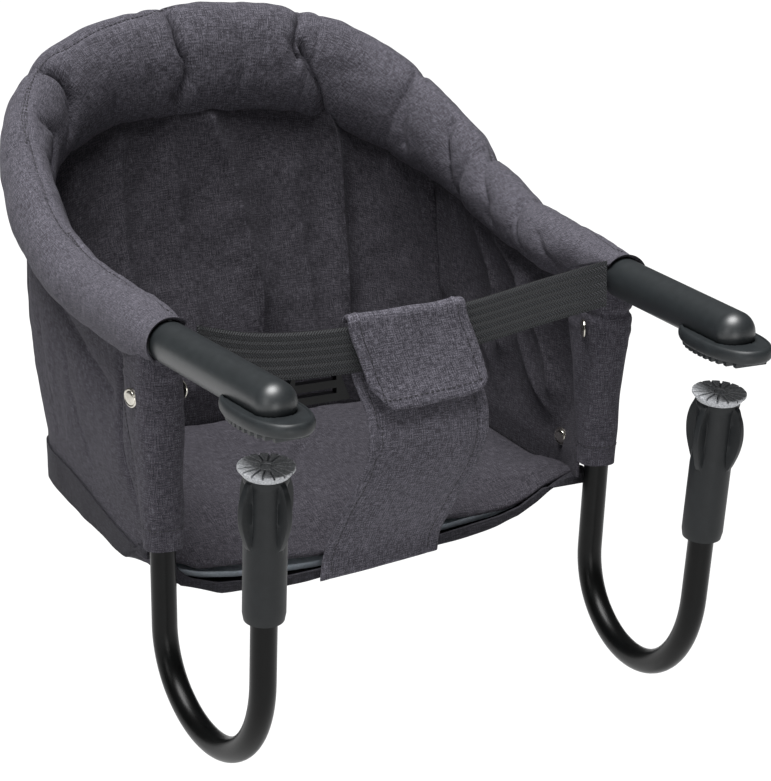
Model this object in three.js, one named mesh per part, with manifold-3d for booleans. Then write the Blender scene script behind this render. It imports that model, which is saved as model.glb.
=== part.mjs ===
// Hook-on table seat: a fabric tub on a bent tube, two arms that rest on the table top
// and two U-shaped hooks with screw clamps that press up from below.
// Millimetres. X runs to the right, Y from the table towards the seat back, Z up.
// The origin lies on the table top, midway between the soles of the two arm pads.
// Heights are laid out from the level of the two arm axes; the finished pieces are lifted
// by the height of that level above the table.
import * as THREE from 'three';
import { mergeVertices } from 'three/addons/utils/BufferGeometryUtils.js';
import Module from 'manifold-3d';

const wasm = await Module();
wasm.setup();

// Clearances between neighbouring pieces
const fit_gap = 0.3;
const cloth_gap = 0.6;
const cut_over = 1;

// Frame layout
const arm_pad_spread = 150.4;
const arm_axis_height = 16;
const arm_yaw = THREE.MathUtils.degToRad(2.65);
const hook_joint_back = 141.7;
const hook_lean = THREE.MathUtils.degToRad(4.2);
const hook_splay = THREE.MathUtils.degToRad(1.5);

// Tubes
const loop_tube_radius = 9;
const hook_tube_radius = 8;
const hook_tube_bore = 6.3;
const round_segments = 16;
const tube_segments = 12;
const bore_segments = 8;
const hook_segments = 14;

// Colours
const slate_plastic = { color: 0x4d5455, roughness: 0.5, metalness: 0 };
const pad_rubber = { color: 0x5a6263, roughness: 0.7, metalness: 0 };
const black_steel = { color: 0x17181a, roughness: 0.3, metalness: 0.6 };
const bright_steel = { color: 0xb9bcbf, roughness: 0.35, metalness: 0.9 };
const melange_cloth = { color: 0x55535c, roughness: 0.95, metalness: 0 };
const black_webbing = { color: 0x1b1c1d, roughness: 0.9, metalness: 0 };
const black_plastic = { color: 0x17191a, roughness: 0.35, metalness: 0 };
const grey_board = { color: 0x8a929c, roughness: 0.6, metalness: 0 };
const disc_rubber = { color: 0x808486, roughness: 0.75, metalness: 0 };

// Shared helpers
function makeNode(name, geometry, look) {
  const mesh = new THREE.Mesh(geometry, new THREE.MeshStandardMaterial(look));
  mesh.name = name;
  return mesh;
}

function solidOf(geometry) {
  const bare = new THREE.BufferGeometry();
  bare.setAttribute('position', geometry.getAttribute('position').clone());
  if (geometry.index) {
    bare.setIndex(geometry.index.clone());
  }
  const welded = mergeVertices(bare, 1e-4);
  const mesh = new wasm.Mesh({
    numProp: 3,
    vertProperties: new Float32Array(welded.getAttribute('position').array),
    triVerts: new Uint32Array(welded.index.array),
  });
  mesh.merge();
  return new wasm.Manifold(mesh);
}

function geometryOf(solid) {
  const mesh = solid.getMesh();
  const geometry = new THREE.BufferGeometry();
  geometry.setAttribute('position', new THREE.BufferAttribute(new Float32Array(mesh.vertProperties), 3));
  geometry.setIndex(new THREE.BufferAttribute(new Uint32Array(mesh.triVerts), 1));
  geometry.computeVertexNormals();
  return geometry;
}

// A turned piece: profile pairs of radius and height, turned about the Z axis
function turned(profile, segments) {
  const points = profile.map(([radius, height]) => new THREE.Vector2(radius, height));
  const geometry = new THREE.LatheGeometry(points, segments);
  geometry.rotateX(Math.PI / 2);
  return geometry;
}

function roundBar(radius, low, high, segments) {
  return turned([[0, low], [radius, low], [radius, high], [0, high]], segments);
}

function block(width, depth, height, x, y, z) {
  const geometry = new THREE.BoxGeometry(width, depth, height);
  geometry.translate(x, y, z);
  return geometry;
}

function smoothStep(value) {
  const share = Math.min(1, Math.max(0, value));
  return share * share * (3 - 2 * share);
}

// A closed skin over rows of points: the front face lies on one side of the middle
// surface, the back face on the other, and the rims are joined
function sheetSolid(pointAt, columns, rows, thickness, wrapped = false) {
  const middle = [];
  const lastColumn = wrapped ? columns - 1 : columns;
  for (let i = 0; i <= lastColumn; i += 1) {
    middle.push([]);
    for (let j = 0; j <= rows; j += 1) {
      middle[i].push(pointAt(i / columns, j / rows));
    }
  }
  const count = middle.length;
  const at = (i, j) => middle[wrapped ? (i + count) % count : Math.min(lastColumn, Math.max(0, i))][
    Math.min(rows, Math.max(0, j))];
  const positions = [];
  const half = thickness / 2;
  for (const sign of [1, -1]) {
    for (let i = 0; i < count; i += 1) {
      for (let j = 0; j <= rows; j += 1) {
        const along = new THREE.Vector3().subVectors(at(i + 1, j), at(i - 1, j));
        const across = new THREE.Vector3().subVectors(at(i, j + 1), at(i, j - 1));
        const normal = new THREE.Vector3().crossVectors(along, across).normalize();
        const point = middle[i][j].clone().addScaledVector(normal, sign * half);
        positions.push(point.x, point.y, point.z);
      }
    }
  }
  const backStart = count * (rows + 1);
  const index = (i, j, back) => (back ? backStart : 0) + (i % count) * (rows + 1) + j;
  const faces = [];
  const quad = (a, b, c, d) => faces.push(a, b, c, a, c, d);
  const steps = wrapped ? count : count - 1;
  for (let i = 0; i < steps; i += 1) {
    for (let j = 0; j < rows; j += 1) {
      quad(index(i, j, false), index(i + 1, j, false), index(i + 1, j + 1, false), index(i, j + 1, false));
      quad(index(i, j, true), index(i, j + 1, true), index(i + 1, j + 1, true), index(i + 1, j, true));
    }
    quad(index(i, 0, true), index(i + 1, 0, true), index(i + 1, 0, false), index(i, 0, false));
    quad(index(i, rows, false), index(i + 1, rows, false), index(i + 1, rows, true), index(i, rows, true));
  }
  if (!wrapped) {
    for (let j = 0; j < rows; j += 1) {
      quad(index(0, j, false), index(0, j + 1, false), index(0, j + 1, true), index(0, j, true));
      quad(index(steps, j, true), index(steps, j + 1, true), index(steps, j + 1, false), index(steps, j, false));
    }
  }
  const geometry = new THREE.BufferGeometry();
  geometry.setAttribute('position', new THREE.Float32BufferAttribute(positions, 3));
  geometry.setIndex(faces);
  geometry.computeVertexNormals();
  return geometry;
}

// The upright frame of one arm: its origin is the middle of the pad, on the arm axis,
// and its Y axis runs back along the arm
function armFrame(side) {
  const back = new THREE.Vector3(side * Math.sin(arm_yaw), Math.cos(arm_yaw), 0);
  const up = new THREE.Vector3(0, 0, 1);
  const right = new THREE.Vector3().crossVectors(back, up);
  const frame = new THREE.Matrix4().makeBasis(right, back, up);
  frame.setPosition(side * arm_pad_spread, 0, 0);
  return frame;
}

const joint_along = hook_joint_back / Math.cos(arm_yaw);

// The frame of one hook: its origin is where the rear leg meets the arm axis,
// and its Z axis runs up the rear leg
function hookFrame(side) {
  const back = new THREE.Vector3(side * Math.sin(arm_yaw), Math.cos(arm_yaw), 0);
  const lean = new THREE.Vector3(0, 0, Math.cos(hook_lean)).addScaledVector(back, -Math.sin(hook_lean));
  const level = back.clone().multiplyScalar(Math.cos(hook_lean));
  level.z += Math.sin(hook_lean);
  const right = new THREE.Vector3().crossVectors(level, lean);
  const up = lean.multiplyScalar(Math.cos(hook_splay)).addScaledVector(right, side * Math.sin(hook_splay));
  const across = new THREE.Vector3().crossVectors(level, up);
  const frame = new THREE.Matrix4().makeBasis(across, level, up);
  const origin = new THREE.Vector3(0, joint_along, 0).applyMatrix4(armFrame(side));
  frame.setPosition(origin);
  return frame;
}

// Arm sleeve: a moulded grip over the end of the bent tube, closed by a rounded nose
const arm_sleeve_radius = 13;
const arm_nose_front = 23;
const arm_nose_length = 12;
const arm_bore_front = 12;
const arm_sleeve_back = 126;
const nose_steps = 6;

function armNoseProfile(grow, back) {
  const radius = arm_sleeve_radius + grow;
  const profile = [[0, -arm_nose_front - grow]];
  for (let step = 1; step <= nose_steps; step += 1) {
    const turn = (step / nose_steps) * (Math.PI / 2);
    profile.push([radius * Math.sin(turn), -arm_nose_front - grow + (arm_nose_length + grow) * (1 - Math.cos(turn))]);
  }
  profile.push([radius, back]);
  return profile;
}

function alongArm(profile, segments) {
  const geometry = turned(profile, segments);
  geometry.rotateX(-Math.PI / 2);
  return geometry;
}

function armSleeve() {
  const bore = loop_tube_radius + fit_gap;
  const profile = armNoseProfile(0, arm_sleeve_back);
  profile.push([bore, arm_sleeve_back], [bore, -arm_bore_front], [0, -arm_bore_front]);
  return alongArm(profile, round_segments);
}

// Arm pad: an oval rubber foot with a thick lip and cross ribs under its sole
const pad_half_length = 40;
const pad_half_width = 20.5;
const pad_front_shift = 1;
const pad_lip_top = 4.2;
const pad_sole = 12.6;
const pad_oval_power = 0.86;
const pad_round = 2.6;
const pad_round_share = 0.3;
const pad_oval_steps = 26;
const rib_pitch = 6;
const rib_land = 2.6;
const rib_inset = 3.5;
const rib_root = 1;
const rib_count = 11;

function ovalPoint(turn, inset) {
  const cosine = Math.cos(turn);
  const sine = Math.sin(turn);
  const x = (pad_half_width - inset) * Math.sign(cosine) * Math.abs(cosine) ** pad_oval_power;
  const y = (pad_half_length - inset) * Math.sign(sine) * Math.abs(sine) ** pad_oval_power;
  return [x, y - pad_front_shift];
}

function ovalStack(levels) {
  const positions = [];
  const faces = [];
  for (const [inset, height] of levels) {
    for (let step = 0; step < pad_oval_steps; step += 1) {
      const [x, y] = ovalPoint((step / pad_oval_steps) * 2 * Math.PI, inset);
      positions.push(x, y, height);
    }
  }
  for (let level = 0; level < levels.length - 1; level += 1) {
    for (let step = 0; step < pad_oval_steps; step += 1) {
      const next = (step + 1) % pad_oval_steps;
      const low = level * pad_oval_steps;
      const high = low + pad_oval_steps;
      faces.push(low + step, low + next, high + next, low + step, high + next, high + step);
    }
  }
  const bottom = positions.length / 3;
  positions.push(0, -pad_front_shift, levels[0][1]);
  const top = bottom + 1;
  positions.push(0, -pad_front_shift, levels[levels.length - 1][1]);
  const last = (levels.length - 1) * pad_oval_steps;
  for (let step = 0; step < pad_oval_steps; step += 1) {
    const next = (step + 1) % pad_oval_steps;
    faces.push(bottom, next, step, top, last + step, last + next);
  }
  const geometry = new THREE.BufferGeometry();
  geometry.setAttribute('position', new THREE.Float32BufferAttribute(positions, 3));
  geometry.setIndex(faces);
  return geometry;
}

function ribRow() {
  const shape = new THREE.Shape();
  const root = -pad_sole + rib_root;
  const tip = -arm_axis_height;
  const start = (-rib_count / 2) * rib_pitch;
  shape.moveTo(start, root);
  for (let rib = 0; rib < rib_count; rib += 1) {
    const left = start + rib * rib_pitch;
    const slope = (rib_pitch - rib_land) / 2;
    shape.lineTo(left, -pad_sole);
    shape.lineTo(left + slope, tip);
    shape.lineTo(left + slope + rib_land, tip);
    shape.lineTo(left + rib_pitch, -pad_sole);
  }
  shape.lineTo(start + rib_count * rib_pitch, root);
  const width = 2 * pad_half_width;
  const geometry = new THREE.ExtrudeGeometry(shape, { depth: width, bevelEnabled: false, steps: 1 });
  geometry.translate(0, 0, -width / 2);
  geometry.rotateY(Math.PI / 2);
  geometry.rotateX(Math.PI / 2);
  return geometry;
}

function armPad() {
  const body = solidOf(ovalStack([
    [pad_round, -pad_sole],
    [0, -pad_sole + pad_round],
    [pad_round * pad_round_share, -pad_lip_top - pad_round * pad_round_share],
    [pad_round, -pad_lip_top],
  ]));
  const outline = solidOf(ovalStack([
    [rib_inset, -arm_axis_height],
    [rib_inset, -pad_sole + rib_root],
  ]));
  const ribs = solidOf(ribRow()).intersect(outline);
  const sleeve = armNoseProfile(fit_gap, arm_sleeve_back);
  sleeve.push([0, arm_sleeve_back]);
  const cradle = solidOf(alongArm(sleeve, round_segments));
  return geometryOf(body.add(ribs).subtract(cradle));
}

// Padded rim: stations from the right arm mouth to the middle of the back, in shares of the
// sizes that the rim's middle line reaches and of its greatest half height and half thickness
const rim_half_width = 161.1;
const rim_depth = 452.5;
const rim_rise = 100.7;
const rim_half_height = 40.6;
const rim_half_thickness = 20.3;
const rim_station_shares = [
  { side: 0.969, back: 0.272, up: 0, tall: 0.488, thick: 0.97 },
  { side: 0.979, back: 0.356, up: -0.002, tall: 0.485, thick: 0.897 },
  { side: 0.983, back: 0.46, up: 0.006, tall: 0.507, thick: 0.867 },
  { side: 0.997, back: 0.568, up: 0.049, tall: 0.507, thick: 0.847 },
  { side: 1, back: 0.678, up: 0.165, tall: 0.571, thick: 0.847 },
  { side: 0.971, back: 0.783, up: 0.367, tall: 0.675, thick: 0.857 },
  { side: 0.884, back: 0.884, up: 0.571, tall: 0.823, thick: 0.951 },
  { side: 0.705, back: 0.959, up: 0.785, tall: 0.869, thick: 1 },
  { side: 0.415, back: 0.993, up: 0.958, tall: 0.911, thick: 1 },
  { side: 0, back: 1, up: 1, tall: 1, thick: 0.975 },
];
const rim_stations = rim_station_shares.map((share) => ({
  side: share.side * rim_half_width,
  back: share.back * rim_depth,
  up: share.up * rim_rise,
  tall: share.tall * rim_half_height,
  thick: share.thick * rim_half_thickness,
}));

function mirrored(stations) {
  const left = stations.slice(0, -1).map((station) => ({ ...station, side: -station.side }));
  return [...left, ...stations.slice().reverse()];
}

const rim_row = mirrored(rim_stations);
const rim_curve = new THREE.CatmullRomCurve3(
  rim_row.map((station) => new THREE.Vector3(station.side, station.back, station.up)),
  false,
  'centripetal',
);

// A station value read at a share of the way along the row of stations
function stationValue(row, share, key) {
  const place = share * (row.length - 1);
  const low = Math.min(row.length - 2, Math.floor(place));
  const blend = (smoothStep(place - low) + place - low) / 2;
  return row[low][key] * (1 - blend) + row[low + 1][key] * blend;
}

// The bent tube runs from arm nose to arm nose through the padded rim
const loop_steps = 38;
const loop_front = 11;
const loop_straight_back = 150;
const loop_blend = 20;

function circlePoints(radius, segments) {
  const points = [];
  for (let step = 0; step < segments; step += 1) {
    const turn = (step / segments) * 2 * Math.PI;
    points.push(new THREE.Vector2(radius * Math.cos(turn), radius * Math.sin(turn)));
  }
  return points;
}

function loopTube() {
  const line = [];
  for (const side of [-1, 1]) {
    const frame = armFrame(side);
    line.push([
      new THREE.Vector3(0, -loop_front, 0).applyMatrix4(frame),
      new THREE.Vector3(0, loop_straight_back, 0).applyMatrix4(frame),
      new THREE.Vector3(0, loop_straight_back + loop_blend, 0).applyMatrix4(frame),
    ]);
  }
  const bend = [line[0][1], line[0][2]];
  for (const station of rim_row.slice(2, -2)) {
    bend.push(new THREE.Vector3(station.side, station.back, station.up));
  }
  bend.push(line[1][2], line[1][1]);
  const path = new THREE.CurvePath();
  path.add(new THREE.LineCurve3(line[0][0], line[0][1]));
  path.add(new THREE.CatmullRomCurve3(bend, false, 'centripetal'));
  path.add(new THREE.LineCurve3(line[1][1], line[1][0]));
  return new THREE.ExtrudeGeometry(new THREE.Shape(circlePoints(loop_tube_radius, tube_segments)), {
    steps: loop_steps,
    extrudePath: path,
    bevelEnabled: false,
  });
}

// Leg socket: a ring welded on the bent tube with a short tube below it for the hook leg
const socket_ring_radius = 12.4;
const socket_ring_half_length = 11;
const socket_head_radius = 11.8;
const socket_wall_radius = 10.6;
const socket_bore = hook_tube_radius + fit_gap;
const socket_top = -8;
const socket_shoulder = -24;
const socket_chamber_top = -15;
const socket_chamber_radius = 9.9;
const socket_neck_taper = 4;
const socket_bottom = -56;
const window_depth = 16;

function legSocket(side) {
  const frame = hookFrame(side);
  const arm = armFrame(side);
  const outer = turned([
    [0, socket_bottom],
    [socket_wall_radius, socket_bottom],
    [socket_wall_radius, socket_shoulder - socket_neck_taper],
    [socket_head_radius, socket_shoulder],
    [socket_head_radius, socket_top],
    [0, socket_top],
  ], round_segments);
  const bore = roundBar(socket_bore, socket_bottom - cut_over, socket_chamber_top - cut_over, round_segments);
  const chamber = roundBar(socket_chamber_radius, socket_shoulder, socket_chamber_top, round_segments);
  const window_height = socket_chamber_top - socket_shoulder;
  const middle = (socket_chamber_top + socket_shoulder) / 2;
  const opening = block(2 * socket_chamber_radius, window_depth, window_height, 0, window_depth / 2, middle);
  for (const piece of [outer, bore, chamber, opening]) {
    piece.applyMatrix4(frame);
  }
  const ring = alongArm([
    [0, joint_along - socket_ring_half_length],
    [socket_ring_radius, joint_along - socket_ring_half_length],
    [socket_ring_radius, joint_along + socket_ring_half_length],
    [0, joint_along + socket_ring_half_length],
  ], round_segments);
  const hole = alongArm([
    [0, joint_along - 2 * socket_ring_half_length],
    [loop_tube_radius + fit_gap, joint_along - 2 * socket_ring_half_length],
    [loop_tube_radius + fit_gap, joint_along + 2 * socket_ring_half_length],
    [0, joint_along + 2 * socket_ring_half_length],
  ], round_segments);
  ring.applyMatrix4(arm);
  hole.applyMatrix4(arm);
  const body = solidOf(outer).add(solidOf(ring)).subtract(solidOf(hole));
  return geometryOf(body.subtract(solidOf(bore)).subtract(solidOf(chamber)).subtract(solidOf(opening)));
}

// Hook: rear leg, three bends of growing radius, and the front leg, whose length leaves the
// gap for the table between the sole of the arm pad and the pressure disc
const rear_leg_top = socket_shoulder - fit_gap;
const rear_leg_bottom = -190.8;
const hook_bend_radius = 75.8;
const hook_bends = [
  { radius_share: 0.623, turn: THREE.MathUtils.degToRad(55.1) },
  { radius_share: 0.879, turn: THREE.MathUtils.degToRad(28.2) },
  { radius_share: 1, turn: THREE.MathUtils.degToRad(93.8) },
];
const bend_steps = 12;
const table_gap = 24.35;
const clamp_tube_drop = 42;
const hook_steps = 29;

function hookLine() {
  const points = [];
  let back = 0;
  let up = rear_leg_bottom;
  let turn = 0;
  for (const bend of hook_bends) {
    for (let step = 0; step < bend_steps; step += 1) {
      const part = bend.turn / bend_steps;
      const reach = bend.radius_share * hook_bend_radius * part;
      turn += part / 2;
      back -= reach * Math.sin(turn);
      up -= reach * Math.cos(turn);
      turn += part / 2;
      points.push(new THREE.Vector3(0, back, up));
    }
  }
  const rise = new THREE.Vector3(0, -Math.sin(turn), -Math.cos(turn));
  const end = points[points.length - 1];
  const frame = hookFrame(1);
  const end_height = end.clone().applyMatrix4(frame).z;
  const rise_height = rise.clone().transformDirection(frame).z;
  const clamp_height = -arm_axis_height - table_gap;
  const clamp = end.clone().addScaledVector(rise, (clamp_height - end_height) / rise_height);
  const top = clamp.clone().addScaledVector(rise, -clamp_tube_drop);
  return { points, rise, clamp, top };
}

const hook_line = hookLine();

// The frame of one clamp: its origin is the middle of the pressure disc, Z up the front leg
function clampFrame(side) {
  const lean = new THREE.Matrix4().makeRotationX(Math.atan2(-hook_line.rise.y, hook_line.rise.z));
  lean.setPosition(hook_line.clamp);
  return hookFrame(side).multiply(lean);
}

function hookTube() {
  const start = new THREE.Vector3(0, 0, rear_leg_top);
  const low = new THREE.Vector3(0, 0, rear_leg_bottom);
  const path = new THREE.CurvePath();
  path.add(new THREE.LineCurve3(start, low));
  path.add(new THREE.CatmullRomCurve3([low, ...hook_line.points], false, 'centripetal'));
  path.add(new THREE.LineCurve3(hook_line.points[hook_line.points.length - 1], hook_line.top));
  const section = new THREE.Shape(circlePoints(hook_tube_radius, hook_segments));
  section.holes.push(new THREE.Path(circlePoints(hook_tube_bore, bore_segments).reverse()));
  return new THREE.ExtrudeGeometry(section, {
    steps: hook_steps,
    extrudePath: path,
    bevelEnabled: false,
  });
}

// Hook head: the flanged plug that carries the rear leg on the shoulder of its socket
const head_flange_radius = 9.6;
const head_flange_height = 3.5;
const head_plug_radius = 5.7;
const head_plug_length = 10;

function hookHead() {
  const low = socket_shoulder + fit_gap;
  return turned([
    [0, low - head_plug_length],
    [head_plug_radius, low - head_plug_length],
    [head_plug_radius, low],
    [head_flange_radius, low],
    [head_flange_radius, low + head_flange_height],
    [0, low + head_flange_height],
  ], round_segments);
}

// Hook collar: a plastic stop ring on the rear leg under the socket
const collar_radius = 10.6;
const collar_height = 8;
const collar_chamfer = 1;

function hookCollar() {
  const top = socket_bottom - fit_gap;
  const bore = hook_tube_radius + fit_gap;
  return turned([
    [bore, top - collar_height],
    [collar_radius - collar_chamfer, top - collar_height],
    [collar_radius, top - collar_height + collar_chamfer],
    [collar_radius, top],
    [bore, top],
    [bore, top - collar_height],
  ], round_segments);
}

// Clamp parts, measured down from the top of the pressure disc
const disc_radius = 16.6;
const disc_plate = 2;
const disc_neck_radius = 13.4;
const disc_height = 5.6;
const disc_stem_radius = 3.2;
const disc_stem_length = 6;
const groove_count = 16;
const groove_width = 0.9;
const groove_depth = 0.8;
const groove_start = 6.6;
const disc_segments = 24;
const disc_edge = 0.4;

function pressureDisc() {
  let disc = solidOf(turned([
    [0, -disc_height - disc_stem_length],
    [disc_stem_radius, -disc_height - disc_stem_length],
    [disc_stem_radius, -disc_height],
    [disc_neck_radius, -disc_height],
    [disc_radius - disc_edge, -disc_plate],
    [disc_radius, -disc_plate + disc_edge],
    [disc_radius, -disc_edge],
    [disc_radius - disc_edge, 0],
    [0, 0],
  ], disc_segments));
  for (let groove = 0; groove < groove_count; groove += 1) {
    const length = disc_radius;
    const cut = block(length, groove_width, 2 * groove_depth, groove_start + length / 2, 0, 0);
    cut.rotateZ(((groove + 0.5) / groove_count) * 2 * Math.PI);
    disc = disc.subtract(solidOf(cut));
  }
  const screw = roundBar(screw_head_radius + fit_gap, -screw_head_height - fit_gap, cut_over, tube_segments);
  const hole = roundBar(screw_shank_radius + fit_gap, -screw_length - fit_gap, 0, tube_segments);
  return geometryOf(disc.subtract(solidOf(screw)).subtract(solidOf(hole)));
}

// Disc screw: the small screw in the middle of the disc
const screw_head_radius = 3;
const screw_head_height = 1.6;
const screw_shank_radius = 1.4;
const screw_length = 9;
const screw_dome = 0.5;

function discScrew() {
  return turned([
    [0, -screw_length],
    [screw_shank_radius, -screw_length],
    [screw_shank_radius, -screw_head_height],
    [screw_head_radius, -screw_head_height],
    [screw_head_radius, -screw_dome],
    [screw_head_radius - screw_dome, -fit_gap],
    [0, -fit_gap],
  ], tube_segments);
}

// Clamp knob: a long barrel over the front leg with four bulging wings
const knob_top = -disc_height - fit_gap;
const knob_cap = 6;
const knob_bottom = -97;
const knob_radius = 12.8;
const knob_neck_radius = 12.2;
const knob_bore = 8.6;
const wing_count = 4;
const wing_thickness = 3;
const wing_reach = 21.5;
const wing_drop = 0.6;
const wing_start = knob_top - wing_drop;
const wing_end = -49;
const wing_root_depth = 1.5;
const wing_root = knob_bore + wing_root_depth;
const wing_steps = 10;
const wing_peak_share = 0.85;
const wing_fullness_share = 0.75;
const wing_turns = { left: THREE.MathUtils.degToRad(16), right: THREE.MathUtils.degToRad(25) };
const knob_flare = 0.6;
const knob_flare_height = 2;
const knob_neck_height = 6;
const knob_taper = 12;
const knob_edge = 1;
const knob_segments = 18;

function wingBlade() {
  const shape = new THREE.Shape();
  shape.moveTo(wing_root, wing_start);
  for (let step = 0; step <= wing_steps; step += 1) {
    const share = step / wing_steps;
    const height = wing_start + share * (wing_end - wing_start);
    const swell = Math.sin(Math.PI * share ** wing_peak_share) ** wing_fullness_share;
    shape.lineTo(knob_radius + (wing_reach - knob_radius) * swell, height);
  }
  shape.lineTo(wing_root, wing_end);
  const blade = new THREE.ExtrudeGeometry(shape, { depth: wing_thickness, bevelEnabled: false, steps: 1 });
  blade.translate(0, 0, -wing_thickness / 2);
  blade.rotateX(Math.PI / 2);
  return blade;
}

function clampKnob(turn) {
  const inner_top = knob_top - knob_cap;
  let knob = solidOf(turned([
    [0, knob_bottom],
    [knob_radius - knob_edge, knob_bottom],
    [knob_radius, knob_bottom + knob_edge],
    [knob_radius, wing_end],
    [knob_neck_radius, wing_end + knob_taper],
    [knob_neck_radius, knob_top - knob_neck_height],
    [knob_radius + knob_flare, knob_top - knob_flare_height],
    [knob_radius + knob_flare, knob_top],
    [0, knob_top],
  ], knob_segments));
  for (let wing = 0; wing < wing_count; wing += 1) {
    const blade = wingBlade();
    blade.rotateZ(turn + (wing / wing_count) * 2 * Math.PI);
    knob = knob.add(solidOf(blade));
  }
  const bore = roundBar(knob_bore, knob_bottom - cut_over, inner_top, round_segments);
  const stem = roundBar(disc_stem_radius + fit_gap, inner_top - cut_over, knob_top + cut_over, tube_segments);
  return geometryOf(knob.subtract(solidOf(bore)).subtract(solidOf(stem)));
}

// Spindle: the screw that hangs from the knob and runs down inside the front leg
const spindle_radius = 4;
const spindle_head_radius = 8.2;
const spindle_head_height = 3;
const spindle_length = 62;
const spindle_chamfer = 0.8;

function clampSpindle() {
  const top = knob_top - knob_cap - fit_gap;
  return turned([
    [0, top - spindle_length],
    [spindle_radius - spindle_chamfer, top - spindle_length],
    [spindle_radius, top - spindle_length + spindle_chamfer],
    [spindle_radius, top - spindle_head_height],
    [spindle_head_radius, top - spindle_head_height],
    [spindle_head_radius, top],
    [0, top],
  ], tube_segments);
}

// Leg nut: the threaded plug in the top of the front leg
const nut_flange_radius = 8;
const nut_flange_height = 2;
const nut_plug_radius = 5.7;
const nut_length = 16;

function legNut() {
  const seat = -clamp_tube_drop + fit_gap;
  const bore = spindle_radius + fit_gap;
  return turned([
    [bore, seat - nut_length],
    [nut_plug_radius, seat - nut_length],
    [nut_plug_radius, seat],
    [nut_flange_radius, seat],
    [nut_flange_radius, seat + nut_flange_height],
    [bore, seat + nut_flange_height],
    [bore, seat - nut_length],
  ], tube_segments);
}

// Padded rim: a quilted sleeve round the bent tube, darted at the back
const rim_sections = 28;
const rim_ring = 16;
const rim_mouth_bore = 14;
const rim_back_bore = 12;
const rim_bore_change_share = 0.07;
const dart_shares = [0.24, 0.36, 0.47, 0.58, 0.67, 0.76, 0.84];
const dart_half_width_share = 0.014;
const dart_depth = 2.4;
const leg_hole_radius = 13.4;
const leg_hole_depth = 60;

function dartDepth(share) {
  let depth = 0;
  for (const place of dart_shares) {
    depth = Math.max(depth, 1 - Math.abs(share - place) / dart_half_width_share);
  }
  return dart_depth * smoothStep(depth);
}

function rimFrame(share) {
  const point = rim_curve.getPoint(share);
  const along = rim_curve.getTangent(share);
  const out = new THREE.Vector3(0, 0, 1).cross(along).normalize();
  const up = new THREE.Vector3().crossVectors(along, out).normalize();
  return { point, out, up };
}

function rimPoint(share, turn, inner) {
  const { point, out, up } = rimFrame(share);
  const edge = Math.min(share, 1 - share);
  const bore = rim_mouth_bore + (rim_back_bore - rim_mouth_bore) * smoothStep(edge / rim_bore_change_share);
  const tall = stationValue(rim_row, share, 'tall') - dartDepth(share);
  const thick = stationValue(rim_row, share, 'thick') - dartDepth(share);
  const reach = inner ? bore : thick;
  const rise = inner ? bore : tall;
  return point.clone()
    .addScaledVector(out, reach * Math.cos(turn))
    .addScaledVector(up, rise * Math.sin(turn));
}

function hoseSolid(pointAt, sections, ring) {
  const positions = [];
  for (const inner of [false, true]) {
    for (let i = 0; i <= sections; i += 1) {
      for (let j = 0; j < ring; j += 1) {
        const point = pointAt(i / sections, (j / ring) * 2 * Math.PI, inner);
        positions.push(point.x, point.y, point.z);
      }
    }
  }
  const start = (sections + 1) * ring;
  const index = (i, j, inner) => (inner ? start : 0) + i * ring + (j % ring);
  const faces = [];
  const quad = (a, b, c, d) => faces.push(a, b, c, a, c, d);
  for (let j = 0; j < ring; j += 1) {
    for (let i = 0; i < sections; i += 1) {
      quad(index(i, j, false), index(i, j + 1, false), index(i + 1, j + 1, false), index(i + 1, j, false));
      quad(index(i, j, true), index(i + 1, j, true), index(i + 1, j + 1, true), index(i, j + 1, true));
    }
    quad(index(0, j, false), index(0, j, true), index(0, j + 1, true), index(0, j + 1, false));
    quad(
      index(sections, j, false),
      index(sections, j + 1, false),
      index(sections, j + 1, true),
      index(sections, j, true),
    );
  }
  const geometry = new THREE.BufferGeometry();
  geometry.setAttribute('position', new THREE.Float32BufferAttribute(positions, 3));
  geometry.setIndex(faces);
  return geometry;
}

function rimSleeve() {
  let rim = solidOf(hoseSolid(rimPoint, rim_sections, rim_ring));
  for (const side of [-1, 1]) {
    const hole = roundBar(leg_hole_radius, -leg_hole_depth, 0, tube_segments);
    hole.applyMatrix4(hookFrame(side));
    rim = rim.subtract(solidOf(hole));
  }
  return geometryOf(rim);
}

// Base outline: stations matched to those of the rim, in shares of the base's half width and
// of the way from the hook legs to the base's back edge
const base_half_width = 156;
const base_depth = 388;
const base_station_shares = [
  { side: 1, back: 0.001 },
  { side: 1, back: 0.086 },
  { side: 1, back: 0.257 },
  { side: 0.997, back: 0.46 },
  { side: 0.99, back: 0.663 },
  { side: 0.974, back: 0.846 },
  { side: 0.917, back: 0.943 },
  { side: 0.692, back: 0.984 },
  { side: 0.391, back: 0.996 },
  { side: 0, back: 1 },
];
const base_stations = base_station_shares.map((share) => ({
  side: share.side * base_half_width,
  back: hook_joint_back + share.back * (base_depth - hook_joint_back),
}));
const base_row = mirrored(base_stations);
const base_curve = new THREE.CatmullRomCurve3(
  base_row.map((station) => new THREE.Vector3(station.side, station.back, 0)),
  false,
  'centripetal',
);

// Fabric walls between the rim and the base
const wall_thickness = 2.4;
const wall_top_gap = 0.9;
const wall_bottom = -136.4;
const wall_front_share = 0.088;
const wall_corner_share = 0.3;
const wall_split_share = 0.004;
const wall_belly = 5;
const side_fold_depth = 1.2;
const side_panel_columns = 12;
const back_panel_columns = 30;
const panel_rows = 8;
const fold_count = 17;
const fold_depth = 3.2;

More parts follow.
